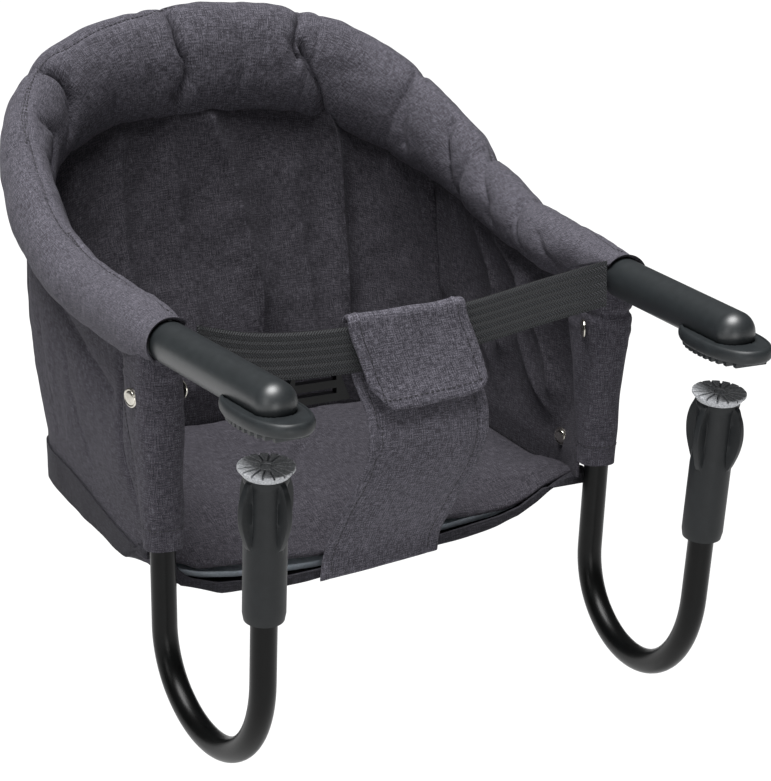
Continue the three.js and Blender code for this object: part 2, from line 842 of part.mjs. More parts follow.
function wallPoint(share, drop, depth) {
  const { point, out, up } = rimFrame(share);
  const tall = stationValue(rim_row, share, 'tall');
  const top = point.clone().addScaledVector(up, -tall - wall_top_gap);
  const bottom = base_curve.getPoint(share);
  bottom.z = wall_bottom;
  const wall = top.lerp(bottom, drop);
  const fold = Math.cos(share * fold_count * 2 * Math.PI) * Math.sin(Math.PI * drop);
  const belly = Math.sin(Math.PI * drop) * wall_belly;
  return wall.addScaledVector(out.setZ(0).normalize(), fold * depth + belly);
}

function wallPanel(from, to, columns, depth) {
  const span = to - from;
  return sheetSolid((u, v) => wallPoint(from + u * span, v, depth), columns, panel_rows, wall_thickness);
}

// Leg sleeve: the fabric channel round the rear leg, wide at the top
const sleeve_top = -23;
const sleeve_bottom = -137;
const sleeve_columns = 16;
const sleeve_rows = 6;
const sleeve_wall = 1.6;
const sleeve_top_half_width = 14.6;
const sleeve_narrowing = 2.6;
const sleeve_front = 13.2;
const sleeve_front_narrowing = 1.4;
const sleeve_top_rear = 39;
const sleeve_rear_narrowing = 27;
const sleeve_wave = 0.3;
const sleeve_wave_turns = 9;
const sleeve_narrow_share = 1.05;

// The middle of the leg sleeve's wall at one height, with its half width and its reach
function sleeveSection(side, height) {
  const frame = hookFrame(side);
  const up = new THREE.Vector3().setFromMatrixColumn(frame, 2);
  const joint = new THREE.Vector3().setFromMatrixPosition(frame);
  const drop = (height - sleeve_top) / (sleeve_bottom - sleeve_top);
  return {
    axis: joint.addScaledVector(up, (height - joint.z) / up.z),
    half_width: sleeve_top_half_width - sleeve_narrowing * drop
      + sleeve_wave * Math.sin(drop * sleeve_wave_turns + side),
    front: sleeve_front - sleeve_front_narrowing * drop,
    rear: sleeve_top_rear - sleeve_rear_narrowing * smoothStep(drop * sleeve_narrow_share),
  };
}

function legSleeve(side) {
  return sheetSolid((u, v) => {
    const height = sleeve_top + v * (sleeve_bottom - sleeve_top);
    const { axis, half_width, front, rear } = sleeveSection(side, height);
    const turn = side * u * 2 * Math.PI;
    const reach = Math.sin(turn) > 0 ? rear : front;
    return new THREE.Vector3(
      axis.x + half_width * Math.cos(turn),
      axis.y + reach * Math.sin(turn),
      height,
    );
  }, sleeve_columns, sleeve_rows, sleeve_wall, true);
}

// Base pocket: a fabric tray that sags in front, with a low front lip
const tray_top = wall_bottom - cloth_gap;
const base_drop = 163;
const tray_bottom = -base_drop;
const tray_wall = 2.4;
const tray_front = 166;
const tray_sag = 27;
const tray_sag_tilt_share = 0.2;
const tray_sag_half_width = 158;
const tray_sag_length = 190;
const tray_sag_rear_share = 0.7;
const tray_lip = -161;
const tray_edge = 5;
const tray_outside = 1.5;
const tray_centre_back = 262;
const tray_mouth_width = 278;
const tray_mouth_depth = 24;
const tray_front_share = 0.085;
const tray_outline_steps = 28;
const tray_front_steps = 10;
const tray_ring_shares = [0.96, 0.7, 0.35];
const round_out_share = 0.4;
const round_down_share = 0.3;

function trayOutline(inset) {
  const points = [];
  for (let step = 0; step <= tray_outline_steps; step += 1) {
    const share = tray_front_share + (step / tray_outline_steps) * (1 - 2 * tray_front_share);
    const point = base_curve.getPoint(share);
    const out = new THREE.Vector3(0, 0, 1).cross(base_curve.getTangent(share)).normalize();
    point.addScaledVector(out, tray_outside - inset);
    points.push([point.x, Math.max(point.y, tray_front + inset)]);
  }
  const first = points[0][0];
  const last = points[points.length - 1][0];
  for (let step = 1; step < tray_front_steps; step += 1) {
    points.push([last + (first - last) * (step / tray_front_steps), tray_front + inset]);
  }
  return points.reverse();
}

function sagAt(x, y) {
  const across = Math.max(0, 1 - (x / tray_sag_half_width) ** 2);
  const along = smoothStep((y - tray_front) / tray_sag_length);
  const tilt = 1 - (x / tray_sag_half_width) * tray_sag_tilt_share;
  return tray_sag * across * tilt * (1 - along * tray_sag_rear_share);
}

// A closed body from a stack of outlines: flat on top, sagging below
function trayBlock(inset, top, bottom) {
  const rounded = trayOutline(inset + tray_edge);
  const rings = [
    { outline: trayOutline(inset), shrink: 1, height: top },
    { outline: trayOutline(inset), shrink: 1, height: bottom + tray_edge },
    {
      outline: trayOutline(inset + tray_edge * round_out_share),
      shrink: 1,
      height: bottom + tray_edge * round_down_share,
    },
    ...tray_ring_shares.map((shrink) => ({ outline: rounded, shrink, height: bottom })),
  ];
  const positions = [];
  const count = rounded.length;
  for (const ring of rings) {
    for (const [x, y] of ring.outline) {
      const px = x * ring.shrink;
      const py = tray_centre_back + (y - tray_centre_back) * ring.shrink;
      const sag = ring.height === top ? 0 : sagAt(px, py);
      positions.push(px, py, ring.height - sag);
    }
  }
  const faces = [];
  for (let ring = 0; ring < rings.length - 1; ring += 1) {
    for (let step = 0; step < count; step += 1) {
      const next = (step + 1) % count;
      const high = ring * count;
      const low = high + count;
      faces.push(high + step, low + step, low + next, high + step, low + next, high + next);
    }
  }
  const top_middle = positions.length / 3;
  positions.push(0, tray_centre_back, top);
  positions.push(0, tray_centre_back, bottom - sagAt(0, tray_centre_back));
  const last = (rings.length - 1) * count;
  for (let step = 0; step < count; step += 1) {
    const next = (step + 1) % count;
    faces.push(top_middle, step, next, top_middle + 1, last + next, last + step);
  }
  const geometry = new THREE.BufferGeometry();
  geometry.setAttribute('position', new THREE.Float32BufferAttribute(positions, 3));
  geometry.setIndex(faces);
  return geometry;
}

function basePocket() {
  const outer = solidOf(trayBlock(0, tray_top, tray_bottom));
  const inner = solidOf(trayBlock(tray_wall, tray_top + cut_over, tray_bottom + tray_wall));
  const mouth_height = tray_top - tray_lip + cut_over;
  const mouth_middle = tray_lip + mouth_height / 2;
  const mouth = block(tray_mouth_width, tray_mouth_depth, mouth_height, 0, tray_front, mouth_middle);
  return geometryOf(outer.subtract(inner).subtract(solidOf(mouth)));
}

// Seat board: the stiff plastic plate in the pocket
const board_bottom = tray_bottom + tray_wall + cloth_gap;
const board_thickness = 4;
const board_inset = 6;

function plateSolid(inset, low, high, crown, rings) {
  const outline = trayOutline(inset);
  const count = outline.length;
  const positions = [];
  for (const face of [-1, 1]) {
    for (let ring = 0; ring < rings; ring += 1) {
      const shrink = 1 - ring / rings;
      const lift = face > 0 ? crown * Math.sin(((ring / rings) * Math.PI) / 2) : 0;
      for (const [x, y] of outline) {
        positions.push(x * shrink, tray_centre_back + (y - tray_centre_back) * shrink);
        positions.push((face > 0 ? high : low) + lift);
      }
    }
  }
  const bottom_middle = positions.length / 3;
  positions.push(0, tray_centre_back, low, 0, tray_centre_back, high + crown);
  const faces = [];
  const index = (face, ring, step) => (face > 0 ? rings * count : 0) + ring * count + (step % count);
  for (let step = 0; step < count; step += 1) {
    for (let ring = 0; ring < rings - 1; ring += 1) {
      faces.push(index(-1, ring, step), index(-1, ring + 1, step), index(-1, ring + 1, step + 1));
      faces.push(index(-1, ring, step), index(-1, ring + 1, step + 1), index(-1, ring, step + 1));
      faces.push(index(1, ring, step), index(1, ring, step + 1), index(1, ring + 1, step + 1));
      faces.push(index(1, ring, step), index(1, ring + 1, step + 1), index(1, ring + 1, step));
    }
    faces.push(index(-1, rings - 1, step), bottom_middle, index(-1, rings - 1, step + 1));
    faces.push(index(1, rings - 1, step), index(1, rings - 1, step + 1), bottom_middle + 1);
    faces.push(index(-1, 0, step), index(-1, 0, step + 1), index(1, 0, step + 1));
    faces.push(index(-1, 0, step), index(1, 0, step + 1), index(1, 0, step));
  }
  const geometry = new THREE.BufferGeometry();
  geometry.setAttribute('position', new THREE.Float32BufferAttribute(positions, 3));
  geometry.setIndex(faces);
  return geometry;
}

function seatBoard() {
  return plateSolid(board_inset, board_bottom, board_bottom + board_thickness, 0, 1);
}

// Seat pad: the padded floor of the tub, lying on the board
const seat_pad_inset = 7;
const seat_pad_bottom = board_bottom + board_thickness + cloth_gap;
const seat_pad_edge = 5;
const seat_pad_crown = 8;
const seat_pad_rings = 4;

function seatPad() {
  const edge_top = seat_pad_bottom + seat_pad_edge;
  return plateSolid(seat_pad_inset, seat_pad_bottom, edge_top, seat_pad_crown, seat_pad_rings);
}

// The front pieces are laid out together: places in shares of the spread of the arm pads,
// of the strap's distance behind them, and of the drop to the base
const strap_back = 138.2;

function frontPlace([side_share, back_share, drop_share]) {
  return new THREE.Vector3(side_share * arm_pad_spread, back_share * strap_back, drop_share * base_drop);
}

// Crotch strip and its flap over the waist strap; both drift to the right lower down
const strip_half_width = 42;
const strip_narrowing = 5;
const strip_narrow_start_share = 0.6;
const strip_thickness = 3;
const strip_columns = 6;
const strip_rows = 16;
const strip_tilt = 3.5;
const strip_tilt_end_share = 0.3;
const strip_line_shares = [
  [0, 1.1874, -1.1104],
  [0.0133, 1.1823, -1.0184],
  [0.0532, 1.0781, -0.8344],
  [0.0997, 0.9624, -0.6503],
  [0.1164, 0.919, -0.5153],
  [0.113, 0.9407, -0.4049],
  [0.0931, 0.9877, -0.319],
  [0.0731, 1.0246, -0.2577],
  [0.0598, 1.0333, -0.184],
  [0.0532, 1.0333, -0.0675],
];
const strip_curve = new THREE.CatmullRomCurve3(strip_line_shares.map(frontPlace), false, 'centripetal');

function crotchStrip() {
  return sheetSolid((u, v) => {
    const point = strip_curve.getPoint(v);
    const narrowing = strip_narrowing * smoothStep((v - strip_narrow_start_share) / (1 - strip_narrow_start_share));
    point.x += (2 * u - 1) * (strip_half_width - narrowing);
    point.z += (2 * u - 1) * strip_tilt * (1 - smoothStep(v / strip_tilt_end_share));
    return point;
  }, strip_columns, strip_rows, strip_thickness);
}

const flap_half_width = 40.5;
const flap_corner = 12;
const flap_corner_start_share = 0.84;
const flap_corner_power = 6;
const flap_columns = 8;
const flap_rows = 14;
const flap_line_shares = [
  [0.0399, 1.0333, -0.0503],
  [0.0399, 1.0246, -0.0294],
  [0.0399, 1.0007, -0.0184],
  [0.0399, 0.9761, -0.0294],
  [0.0465, 0.9667, -0.0798],
  [0.0731, 0.9522, -0.1595],
  [0.1064, 0.9226, -0.2761],
  [0.133, 0.8792, -0.3804],
];
const flap_curve = new THREE.CatmullRomCurve3(flap_line_shares.map(frontPlace), false, 'centripetal');

function crotchFlap() {
  return sheetSolid((u, v) => {
    const point = flap_curve.getPoint(v);
    const lower = smoothStep((v - flap_corner_start_share) / (1 - flap_corner_start_share));
    const rounding = flap_corner * lower * Math.abs(2 * u - 1) ** flap_corner_power;
    point.x += (2 * u - 1) * (flap_half_width - rounding / 2);
    point.z += rounding;
    return point;
  }, flap_columns, flap_rows, strip_thickness);
}

// Waist strap: webbing from arm mouth to arm mouth, held by the crotch flap
const strap_width = 30;
const strap_thickness = 1.8;
const strap_columns = 28;
const strap_rows = 2;
const strap_line_shares = [
  [-0.9328, 0.8647, -0.0307],
  [-0.871, 0.9081, -0.0552],
  [-0.6649, 0.9624, -0.1135],
  [-0.3989, 0.9913, -0.1472],
  [0, 1, -0.1503],
  [0.3657, 0.9913, -0.1166],
  [0.6649, 0.9624, -0.0644],
  [0.871, 0.9081, -0.0215],
  [0.9328, 0.8647, 0],
];
const strap_curve = new THREE.CatmullRomCurve3(strap_line_shares.map(frontPlace), false, 'centripetal');

function waistStrap() {
  return sheetSolid((u, v) => {
    const point = strap_curve.getPoint(u);
    point.z += (1 / 2 - v) * strap_width;
    return point;
  }, strap_columns, strap_rows, strap_thickness);
}

// Strap buckle: a moulded plate behind the strap beside the flap, hung from a short web
const buckle_left = -78;
const buckle_right = -31;
const buckle_top = -34;
const buckle_bottom = -57;
const buckle_slant = 9;
const buckle_front = 139.6;
const buckle_depth = 6;
const buckle_slot_width = 28;
const buckle_slot_height = 3.4;
const buckle_slot_top = -40;
const buckle_slot_pitch = 8.5;
const buckle_slot_count = 2;

function strapBuckle() {
  const shape = new THREE.Shape();
  shape.moveTo(buckle_left + buckle_slant, buckle_top);
  shape.lineTo(buckle_left, buckle_bottom);
  shape.lineTo(buckle_right, buckle_bottom);
  shape.lineTo(buckle_right - buckle_slant, buckle_top);
  const middle = (buckle_left + buckle_right) / 2;
  for (let bar = 0; bar < buckle_slot_count; bar += 1) {
    const height = buckle_slot_top - bar * buckle_slot_pitch;
    const slot = new THREE.Path();
    slot.moveTo(middle - buckle_slot_width / 2, height);
    slot.lineTo(middle + buckle_slot_width / 2, height);
    slot.lineTo(middle + buckle_slot_width / 2, height - buckle_slot_height);
    slot.lineTo(middle - buckle_slot_width / 2, height - buckle_slot_height);
    shape.holes.push(slot);
  }
  const geometry = new THREE.ExtrudeGeometry(shape, { depth: buckle_depth, bevelEnabled: false, steps: 1 });
  geometry.rotateX(Math.PI / 2);
  geometry.translate(0, buckle_front + buckle_depth, 0);
  return geometry;
}

// Buckle web: the short doubled webbing between the strap and the upper bar of the buckle
const web_width = 26;
const web_top = -12;
const web_gap = 0.4;
const web_columns = 2;
const web_rows = 3;

function buckleWeb() {
  const middle = (buckle_left + buckle_right) / 2;
  return sheetSolid((u, v) => new THREE.Vector3(
    middle + (u - 1 / 2) * web_width,
    buckle_front + strap_thickness / 2,
    web_top + v * (buckle_top + web_gap - web_top),
  ), web_columns, web_rows, strap_thickness);
}

// Snap cap: a low dome pressed through the cloth
const snap_radius = 6.2;
const snap_height = 2;
const snap_rim = 0.5;
const snap_segments = 10;
const snap_seat = 0.2;
const snap_outer = { up: -39, shift: 6.3, face: 1 };
const snap_inner = { up: -37, shift: 3.5, face: -1 };
const snap_lower_drop_share = 0.91;
const snap_lower_in_share = 0.012;
const slope_step_share = 0.001;
const snap_dome_shares = [0.8, 0.4];

function snapCap() {
  return turned([
    [0, 0],
    [snap_radius, 0],
    [snap_radius, snap_rim],
    [snap_radius * snap_dome_shares[0], snap_height * snap_dome_shares[0]],
    [snap_radius * snap_dome_shares[1], snap_height],
    [0, snap_height],
  ], snap_segments);
}

function sleeveSnap(side, place) {
  const { axis, half_width } = sleeveSection(side, place.up);
  const facing = side * place.face;
  const reach = half_width + sleeve_wall / 2 + snap_seat;
  const geometry = snapCap();
  geometry.rotateY((facing * Math.PI) / 2);
  geometry.translate(axis.x + facing * reach, axis.y + place.shift, place.up);
  return geometry;
}

// The lower snap faces inwards, square to the side wall near its front edge
function lowerSnap(side) {
  const place = wall_front_share + snap_lower_in_share;
  const share = side < 0 ? place : 1 - place;
  const wall = wallPoint(share, snap_lower_drop_share, side_fold_depth);
  const along = wallPoint(share + slope_step_share, snap_lower_drop_share, side_fold_depth).sub(wall);
  const down = wallPoint(share, snap_lower_drop_share + slope_step_share, side_fold_depth).sub(wall);
  const inward = new THREE.Vector3().crossVectors(along, down).normalize();
  if (inward.x * side > 0) {
    inward.negate();
  }
  const geometry = snapCap();
  geometry.applyQuaternion(new THREE.Quaternion().setFromUnitVectors(new THREE.Vector3(0, 0, 1), inward));
  const seat = wall.addScaledVector(inward, wall_thickness / 2 + snap_seat);
  geometry.translate(seat.x, seat.y, seat.z);
  return geometry;
}

// Assembly
const seat = new THREE.Group();
seat.name = 'hook_on_seat';
const placed = (geometry, frame) => geometry.applyMatrix4(frame);

function add(name, geometry, look) {
  geometry.translate(0, 0, arm_axis_height);
  seat.add(makeNode(name, geometry, look));
}

add('bent_loop_tube', loopTube(), bright_steel);
for (const side of [-1, 1]) {
  const label = side < 0 ? 'left' : 'right';
  const arm = armFrame(side);
  const hook = hookFrame(side);
  const clamp = clampFrame(side);
  add(`arm_sleeve_${label}`, placed(armSleeve(), arm), slate_plastic);
  add(`arm_pad_${label}`, placed(armPad(), arm), pad_rubber);
  add(`leg_socket_${label}`, legSocket(side), bright_steel);
  add(`hook_tube_${label}`, placed(hookTube(), hook), black_steel);
  add(`hook_head_${label}`, placed(hookHead(), hook), bright_steel);
  add(`hook_collar_${label}`, placed(hookCollar(), hook), slate_plastic);
  add(`leg_nut_${label}`, placed(legNut(), clamp), bright_steel);
  add(`clamp_spindle_${label}`, placed(clampSpindle(), clamp), bright_steel);
  add(`clamp_knob_${label}`, placed(clampKnob(wing_turns[label]), clamp), slate_plastic);
  add(`pressure_disc_${label}`, placed(pressureDisc(), clamp), disc_rubber);
  add(`disc_screw_${label}`, placed(discScrew(), clamp), disc_rubber);
  add(`leg_sleeve_${label}`, legSleeve(side), melange_cloth);
  add(`snap_outer_${label}`, sleeveSnap(side, snap_outer), bright_steel);
  add(`snap_inner_${label}`, sleeveSnap(side, snap_inner), bright_steel);
  add(`snap_lower_${label}`, lowerSnap(side), bright_steel);
}
add('rim_sleeve', rimSleeve(), melange_cloth);
const left_corner = wall_corner_share;
const right_corner = 1 - wall_corner_share;
const left_end = left_corner - wall_split_share;
const right_start = right_corner + wall_split_share;
add('side_panel_left', wallPanel(wall_front_share, left_end, side_panel_columns, side_fold_depth), melange_cloth);
add(
  'side_panel_right',
  wallPanel(right_start, 1 - wall_front_share, side_panel_columns, side_fold_depth),
  melange_cloth,
);
add('back_panel', wallPanel(left_corner, right_corner, back_panel_columns, fold_depth), melange_cloth);
add('base_pocket', basePocket(), melange_cloth);
add('seat_board', seatBoard(), grey_board);
add('seat_pad', seatPad(), melange_cloth);
add('crotch_strip', crotchStrip(), melange_cloth);
add('crotch_flap', crotchFlap(), melange_cloth);
add('waist_strap', waistStrap(), black_webbing);
add('strap_buckle', strapBuckle(), black_plastic);
add('buckle_web', buckleWeb(), black_webbing);

export default seat;
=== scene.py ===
import math
import bmesh
import bpy
import numpy as np
from mathutils import Matrix, Vector, noise
from mathutils.bvhtree import BVHTree


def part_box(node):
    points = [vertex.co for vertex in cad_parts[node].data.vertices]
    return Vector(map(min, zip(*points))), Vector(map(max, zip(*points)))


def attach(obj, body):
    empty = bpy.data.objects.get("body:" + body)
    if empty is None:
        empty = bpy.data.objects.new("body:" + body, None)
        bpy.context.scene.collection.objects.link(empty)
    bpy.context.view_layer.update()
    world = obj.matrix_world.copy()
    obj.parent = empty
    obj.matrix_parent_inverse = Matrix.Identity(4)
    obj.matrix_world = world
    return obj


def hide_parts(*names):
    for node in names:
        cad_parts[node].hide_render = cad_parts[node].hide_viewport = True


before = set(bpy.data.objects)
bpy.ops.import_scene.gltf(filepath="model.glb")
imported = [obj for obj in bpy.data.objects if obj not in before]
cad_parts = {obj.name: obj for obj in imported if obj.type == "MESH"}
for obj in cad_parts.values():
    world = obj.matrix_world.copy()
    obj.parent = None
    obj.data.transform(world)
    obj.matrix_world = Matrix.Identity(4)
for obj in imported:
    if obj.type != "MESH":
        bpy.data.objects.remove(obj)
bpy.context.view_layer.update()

mm = 0.001

# Camera
# It stands to the left of the arms and a little above them, with a long lens.
camera_place = (-0.74936, -1.34958, 0.4786)
camera_azimuth = math.radians(-26.503)
camera_elevation = math.radians(17.286)
camera_roll = math.radians(-0.38)
camera = bpy.data.objects.new("camera", bpy.data.cameras.new("camera"))
bpy.context.scene.collection.objects.link(camera)
camera.data.lens = 129.07
camera.data.sensor_width = 36
camera.matrix_world = (
    Matrix.Translation(camera_place)
    @ Matrix.Rotation(camera_azimuth, 4, "Z")
    @ Matrix.Rotation(math.radians(90) - camera_elevation, 4, "X")
    @ Matrix.Rotation(camera_roll, 4, "Z")
)
bpy.context.scene.camera = camera
bpy.context.scene.view_settings.view_transform = "Standard"

# Hooks
# Two steel tubes of 16 mm, each bent three times, run down from a socket under the rim and
# forward below the table. They are powder coated in gloss black after bending.
arm_spread = 150.4 * mm
arm_axis = 16 * mm
arm_yaw = math.radians(2.65)
hook_joint = 141.7 * mm
hook_lean = math.radians(4.2)
hook_splay = math.radians(1.5)
hook_radius = 8 * mm
hook_bore = 6.3 * mm
hook_facets = 32
leg_top = -24.3 * mm
leg_bottom = -190.8 * mm
hook_bends = ((47.2 * mm, 55.1), (66.6 * mm, 28.2), (75.8 * mm, 93.8))
clamp_height = -40.35 * mm
front_leg_top = 42 * mm
sides = {"left": -1, "right": 1}
broad_grain_share = 0.12


def linear(code):
    """An sRGB hex colour as linear red, green, blue and alpha."""
    parts = [int(code[place:place + 2], 16) / 255 for place in (1, 3, 5)]
    return tuple(c / 12.92 if c <= 0.04045 else ((c + 0.055) / 1.055) ** 2.4 for c in parts) + (1,)


def add_node(tree, kind, inputs=None, **settings):
    """Adds a node with its settings; an input is either a value or a socket to link from."""
    added = tree.nodes.new(kind)
    for key, value in settings.items():
        setattr(added, key, value)
    for key, value in (inputs or {}).items():
        if isinstance(value, bpy.types.NodeSocket):
            tree.links.new(value, added.inputs[key])
        else:
            added.inputs[key].default_value = value
    return added


def new_finish(name, **values):
    """A material with its shader's plain values set."""
    finish = bpy.data.materials.new(name)
    finish.use_nodes = True
    shader = finish.node_tree.nodes["Principled BSDF"]
    for key, value in values.items():
        shader.inputs[key.replace("_", " ")].default_value = value
    return finish, finish.node_tree, shader


def math_node(tree, operation, *operands):
    """One step of arithmetic on values or sockets, as the socket of its result."""
    return add_node(tree, "ShaderNodeMath", dict(enumerate(operands)), operation=operation).outputs[0]


def speckle(tree, spacing, detail):
    """Noise with the given spacing, fixed to the piece."""
    place = add_node(tree, "ShaderNodeTexCoord").outputs["Object"]
    inputs = {"Vector": place, "Scale": 1 / spacing, "Detail": detail}
    return add_node(tree, "ShaderNodeTexNoise", inputs).outputs["Fac"]


def cover(tree, shader, tone, low, high, height, strength, depth):
    """Colours a shader between two tones and embosses it by a height."""
    mix = add_node(tree, "ShaderNodeMix", {0: tone, 6: linear(low), 7: linear(high)}, data_type="RGBA")
    bump = add_node(tree, "ShaderNodeBump", {"Height": height, "Strength": strength, "Distance": depth})
    tree.links.new(mix.outputs[2], shader.inputs["Base Color"])
    tree.links.new(bump.outputs[0], shader.inputs["Normal"])


def grained(name, low, high, spacing, depth, **values):
    """A material with fine moulded or coated grain: speckled between two tones, and embossed."""
    finish, tree, shader = new_finish(name, **values)
    fine, broad = speckle(tree, spacing, 3), speckle(tree, spacing / broad_grain_share, 2)
    both = math_node(tree, "ADD", fine, broad)
    tone = add_node(tree, "ShaderNodeMapRange", {"Value": both, "From Min": 0.7, "From Max": 1.3})
    cover(tree, shader, tone.outputs[0], low, high, fine, 0.35, depth)
    return finish


# Powder coat: thick black paint fused on steel. A gloss film with a faint orange peel.
powder_coat = grained(
    "black_powder_coat", "#030303", "#070808", spacing=1.6 * mm, depth=0.04 * mm,
    Roughness=0.32, Specular_IOR_Level=0.16,
)

# Plain steel: cut and turned parts that mostly stay hidden, a little dulled.
plain_steel = grained(
    "plain_steel", "#9a9c9f", "#c6c8cb", spacing=0.5 * mm, depth=0.02 * mm, Metallic=1, Roughness=0.34
)

# Moulded slate plastic: glass-filled nylon with a satin face from a lightly etched mould.
slate_plastic = grained(
    "slate_moulded_nylon", "#181c1e", "#212527", spacing=0.7 * mm, depth=0.035 * mm,
    Roughness=0.42, Specular_IOR_Level=0.8,
)

# Knob plastic: the same nylon in darker tones, as painted shade on the upright knobs, and with a duller
# face.
knob_painted_shade_plastic = grained(
    "knob_nylon_painted_shade", "#111416", "#191c1e", spacing=0.7 * mm, depth=0.035 * mm,
    Roughness=0.5, Specular_IOR_Level=0.3,
)


def transform(right, back, up, place):
    """The matrix of a frame with the given directions and place."""
    matrix = np.eye(4)
    matrix[:3, 0], matrix[:3, 1], matrix[:3, 2], matrix[:3, 3] = right, back, up, place
    return matrix


def move(points, matrix):
    """The points carried into a frame."""
    return points @ matrix[:3, :3].T + matrix[:3, 3]


def arm_frame(side):
    """An arm's frame: its axis is level and runs a little outwards to the back."""
    back = np.array([side * math.sin(arm_yaw), math.cos(arm_yaw), 0])
    up = np.array([0, 0, 1.0])
    return transform(np.cross(back, up), back, up, (side * arm_spread, 0, arm_axis))


def hook_frame(side):
    """A hook's frame at its socket: the rear leg leans and splays a little from the upright."""
    back = arm_frame(side)[:3, 1]
    upright = np.array([0, 0, math.cos(hook_lean)]) - back * math.sin(hook_lean)
    level = back * math.cos(hook_lean) + np.array([0, 0, math.sin(hook_lean)])
    across = np.cross(level, upright)
    up = upright * math.cos(hook_splay) + across * side * math.sin(hook_splay)
    place = move(np.array([0, hook_joint / math.cos(arm_yaw), 0]), arm_frame(side))
    return transform(np.cross(level, up), level, up, place)


def hook_line(steps=24):
    """The middle line of a hook in its own frame, with the clamp's place and direction."""
    points = [np.array([0, 0, leg_top]), np.array([0, 0, leg_bottom])]
    back, up, turn = 0, leg_bottom, 0
    for radius, degrees in hook_bends:
        part = math.radians(degrees) / steps
        for _ in range(steps):
            back -= radius * part * math.sin(turn + part / 2)
            up -= radius * part * math.cos(turn + part / 2)
            turn += part
            points.append(np.array([0, back, up]))
    rise = np.array([0, -math.sin(turn), -math.cos(turn)])
    frame_right = hook_frame(1)
    gap = clamp_height + arm_axis - move(points[-1], frame_right)[2]
    clamp = points[-1] + rise * gap / (frame_right[:3, :3] @ rise)[2]
    points.append(clamp - rise * front_leg_top)
    return np.array(points), clamp, rise


hook_points, clamp_place, clamp_rise = hook_line()


def clamp_frame(side):
    """A clamp's frame, with its origin on the front leg's axis and Z along the screw."""
    across = np.array([1.0, 0, 0])
    return hook_frame(side) @ transform(across, np.cross(clamp_rise, across), clamp_rise, clamp_place)


def make_mesh(name, points, quads, finish, corner_uv=None, sharp=35):
    """A closed mesh with merged doubles, outward faces and smooth shading up to an angle."""
    mesh = bpy.data.meshes.new(name)
    mesh.from_pydata(np.reshape(points, (-1, 3)).tolist(), [], np.reshape(quads, (-1, 4)).tolist())
    if corner_uv is not None:
        layer = mesh.uv_layers.new(name="threads")
        layer.data.foreach_set("uv", np.ravel(corner_uv))
    shape = bmesh.new()
    shape.from_mesh(mesh)
    bmesh.ops.remove_doubles(shape, verts=shape.verts, dist=1e-6)
    bmesh.ops.recalc_face_normals(shape, faces=shape.faces)
    shape.to_mesh(mesh)
    shape.free()
    mesh.polygons.foreach_set("use_smooth", [True] * len(mesh.polygons))
    mesh.set_sharp_from_angle(angle=math.radians(sharp))
    mesh.materials.append(finish)
    piece = bpy.data.objects.new(name, mesh)
    bpy.context.scene.collection.objects.link(piece)
    return piece


def grid_quads(rows, columns, wrap_rows, wrap_columns):
    """The quads of a grid, by vertex number, and each corner's row and column unwrapped."""
    i, j = np.meshgrid(
        np.arange(rows - 1 + wrap_rows), np.arange(columns - 1 + wrap_columns), indexing="ij"
    )
    corners = np.stack([(i, j), (i + 1, j), (i + 1, j + 1), (i, j + 1)], axis=-1)
    corners = corners.reshape(2, -1, 4)
    quads = (corners[0] % rows) * columns + corners[1] % columns
    return quads, corners


def make_skin(name, points, finish, uv=None, wrap_rows=False, wrap_columns=True, sharp=35):
    """A piece whose surface is one grid of points; uv has one more row or column per wrap."""
    quads, corners = grid_quads(points.shape[0], points.shape[1], wrap_rows, wrap_columns)
    corner_uv = None if uv is None else uv[corners[0], corners[1]].reshape(-1, 2)
    return make_mesh(name, points, quads, finish, corner_uv, sharp)


def belongs(piece, body, slot, *nodes):
    """The piece rides on a body and stands for CAD nodes, which are hidden; slot is not used."""
    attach(piece, body)
    if nodes:
        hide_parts(*nodes)


def ring_at(path, radius, count):
    """Rings of points round a path that lies in the frame's middle plane."""
    along = np.gradient(path, axis=0)
    along /= np.linalg.norm(along, axis=1)[:, None]
    across = np.array([1.0, 0, 0])
    over = np.cross(along, across)
    turn = np.linspace(0, 2 * math.pi, count, endpoint=False)
    reach = np.cos(turn)[None, :, None] * across + np.sin(turn)[None, :, None] * over[:, None, :]
    return path[:, None, :] + radius * reach


def repaint(finish, *names):
    """Gives CAD nodes that stay in the scene a finish."""
    for name in names:
        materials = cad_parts[name].data.materials
        materials.clear()
        materials.append(finish)


for label, side in sides.items():
    outer = ring_at(hook_points, hook_radius, hook_facets)
    inner = ring_at(hook_points, hook_bore, hook_facets)[::-1]
    rings = move(np.concatenate([outer, inner]), hook_frame(side))
    tube = make_skin(f"hook_{label}", rings, powder_coat, wrap_rows=True)
    belongs(tube, f"hook_{label}", "black_steel", f"hook_tube_{label}")
    for part in ("hook_head", "leg_nut", "clamp_spindle", "leg_socket"):
        repaint(plain_steel, f"{part}_{label}")
    repaint(slate_plastic, f"hook_collar_{label}")

# Bent loop tube
# One steel tube runs from arm nose to arm nose inside the rim and is all hidden by it.
repaint(plain_steel, "bent_loop_tube")

# Arms
# Moulded grips slide over the ends of the loop tube and close it with a rounded nose.
arm_radius = 13 * mm
arm_front = 23 * mm
nose_length = 12 * mm
arm_back = 126 * mm
arm_bore = 9.3 * mm
arm_chamfer = 1 * mm
arm_facets = 64


def circle(radius, turns, height):
    """A ring about the Z axis; radius and height may differ from point to point."""
    return np.stack(np.broadcast_arrays(radius * np.cos(turns), radius * np.sin(turns), height), -1)


def turned(profile, facets):
    """Rings of points turned about the Z axis from pairs of radius and height."""
    radius, height = np.array(profile).T
    return circle(radius[:, None], np.linspace(0, 2 * math.pi, facets, endpoint=False), height[:, None])


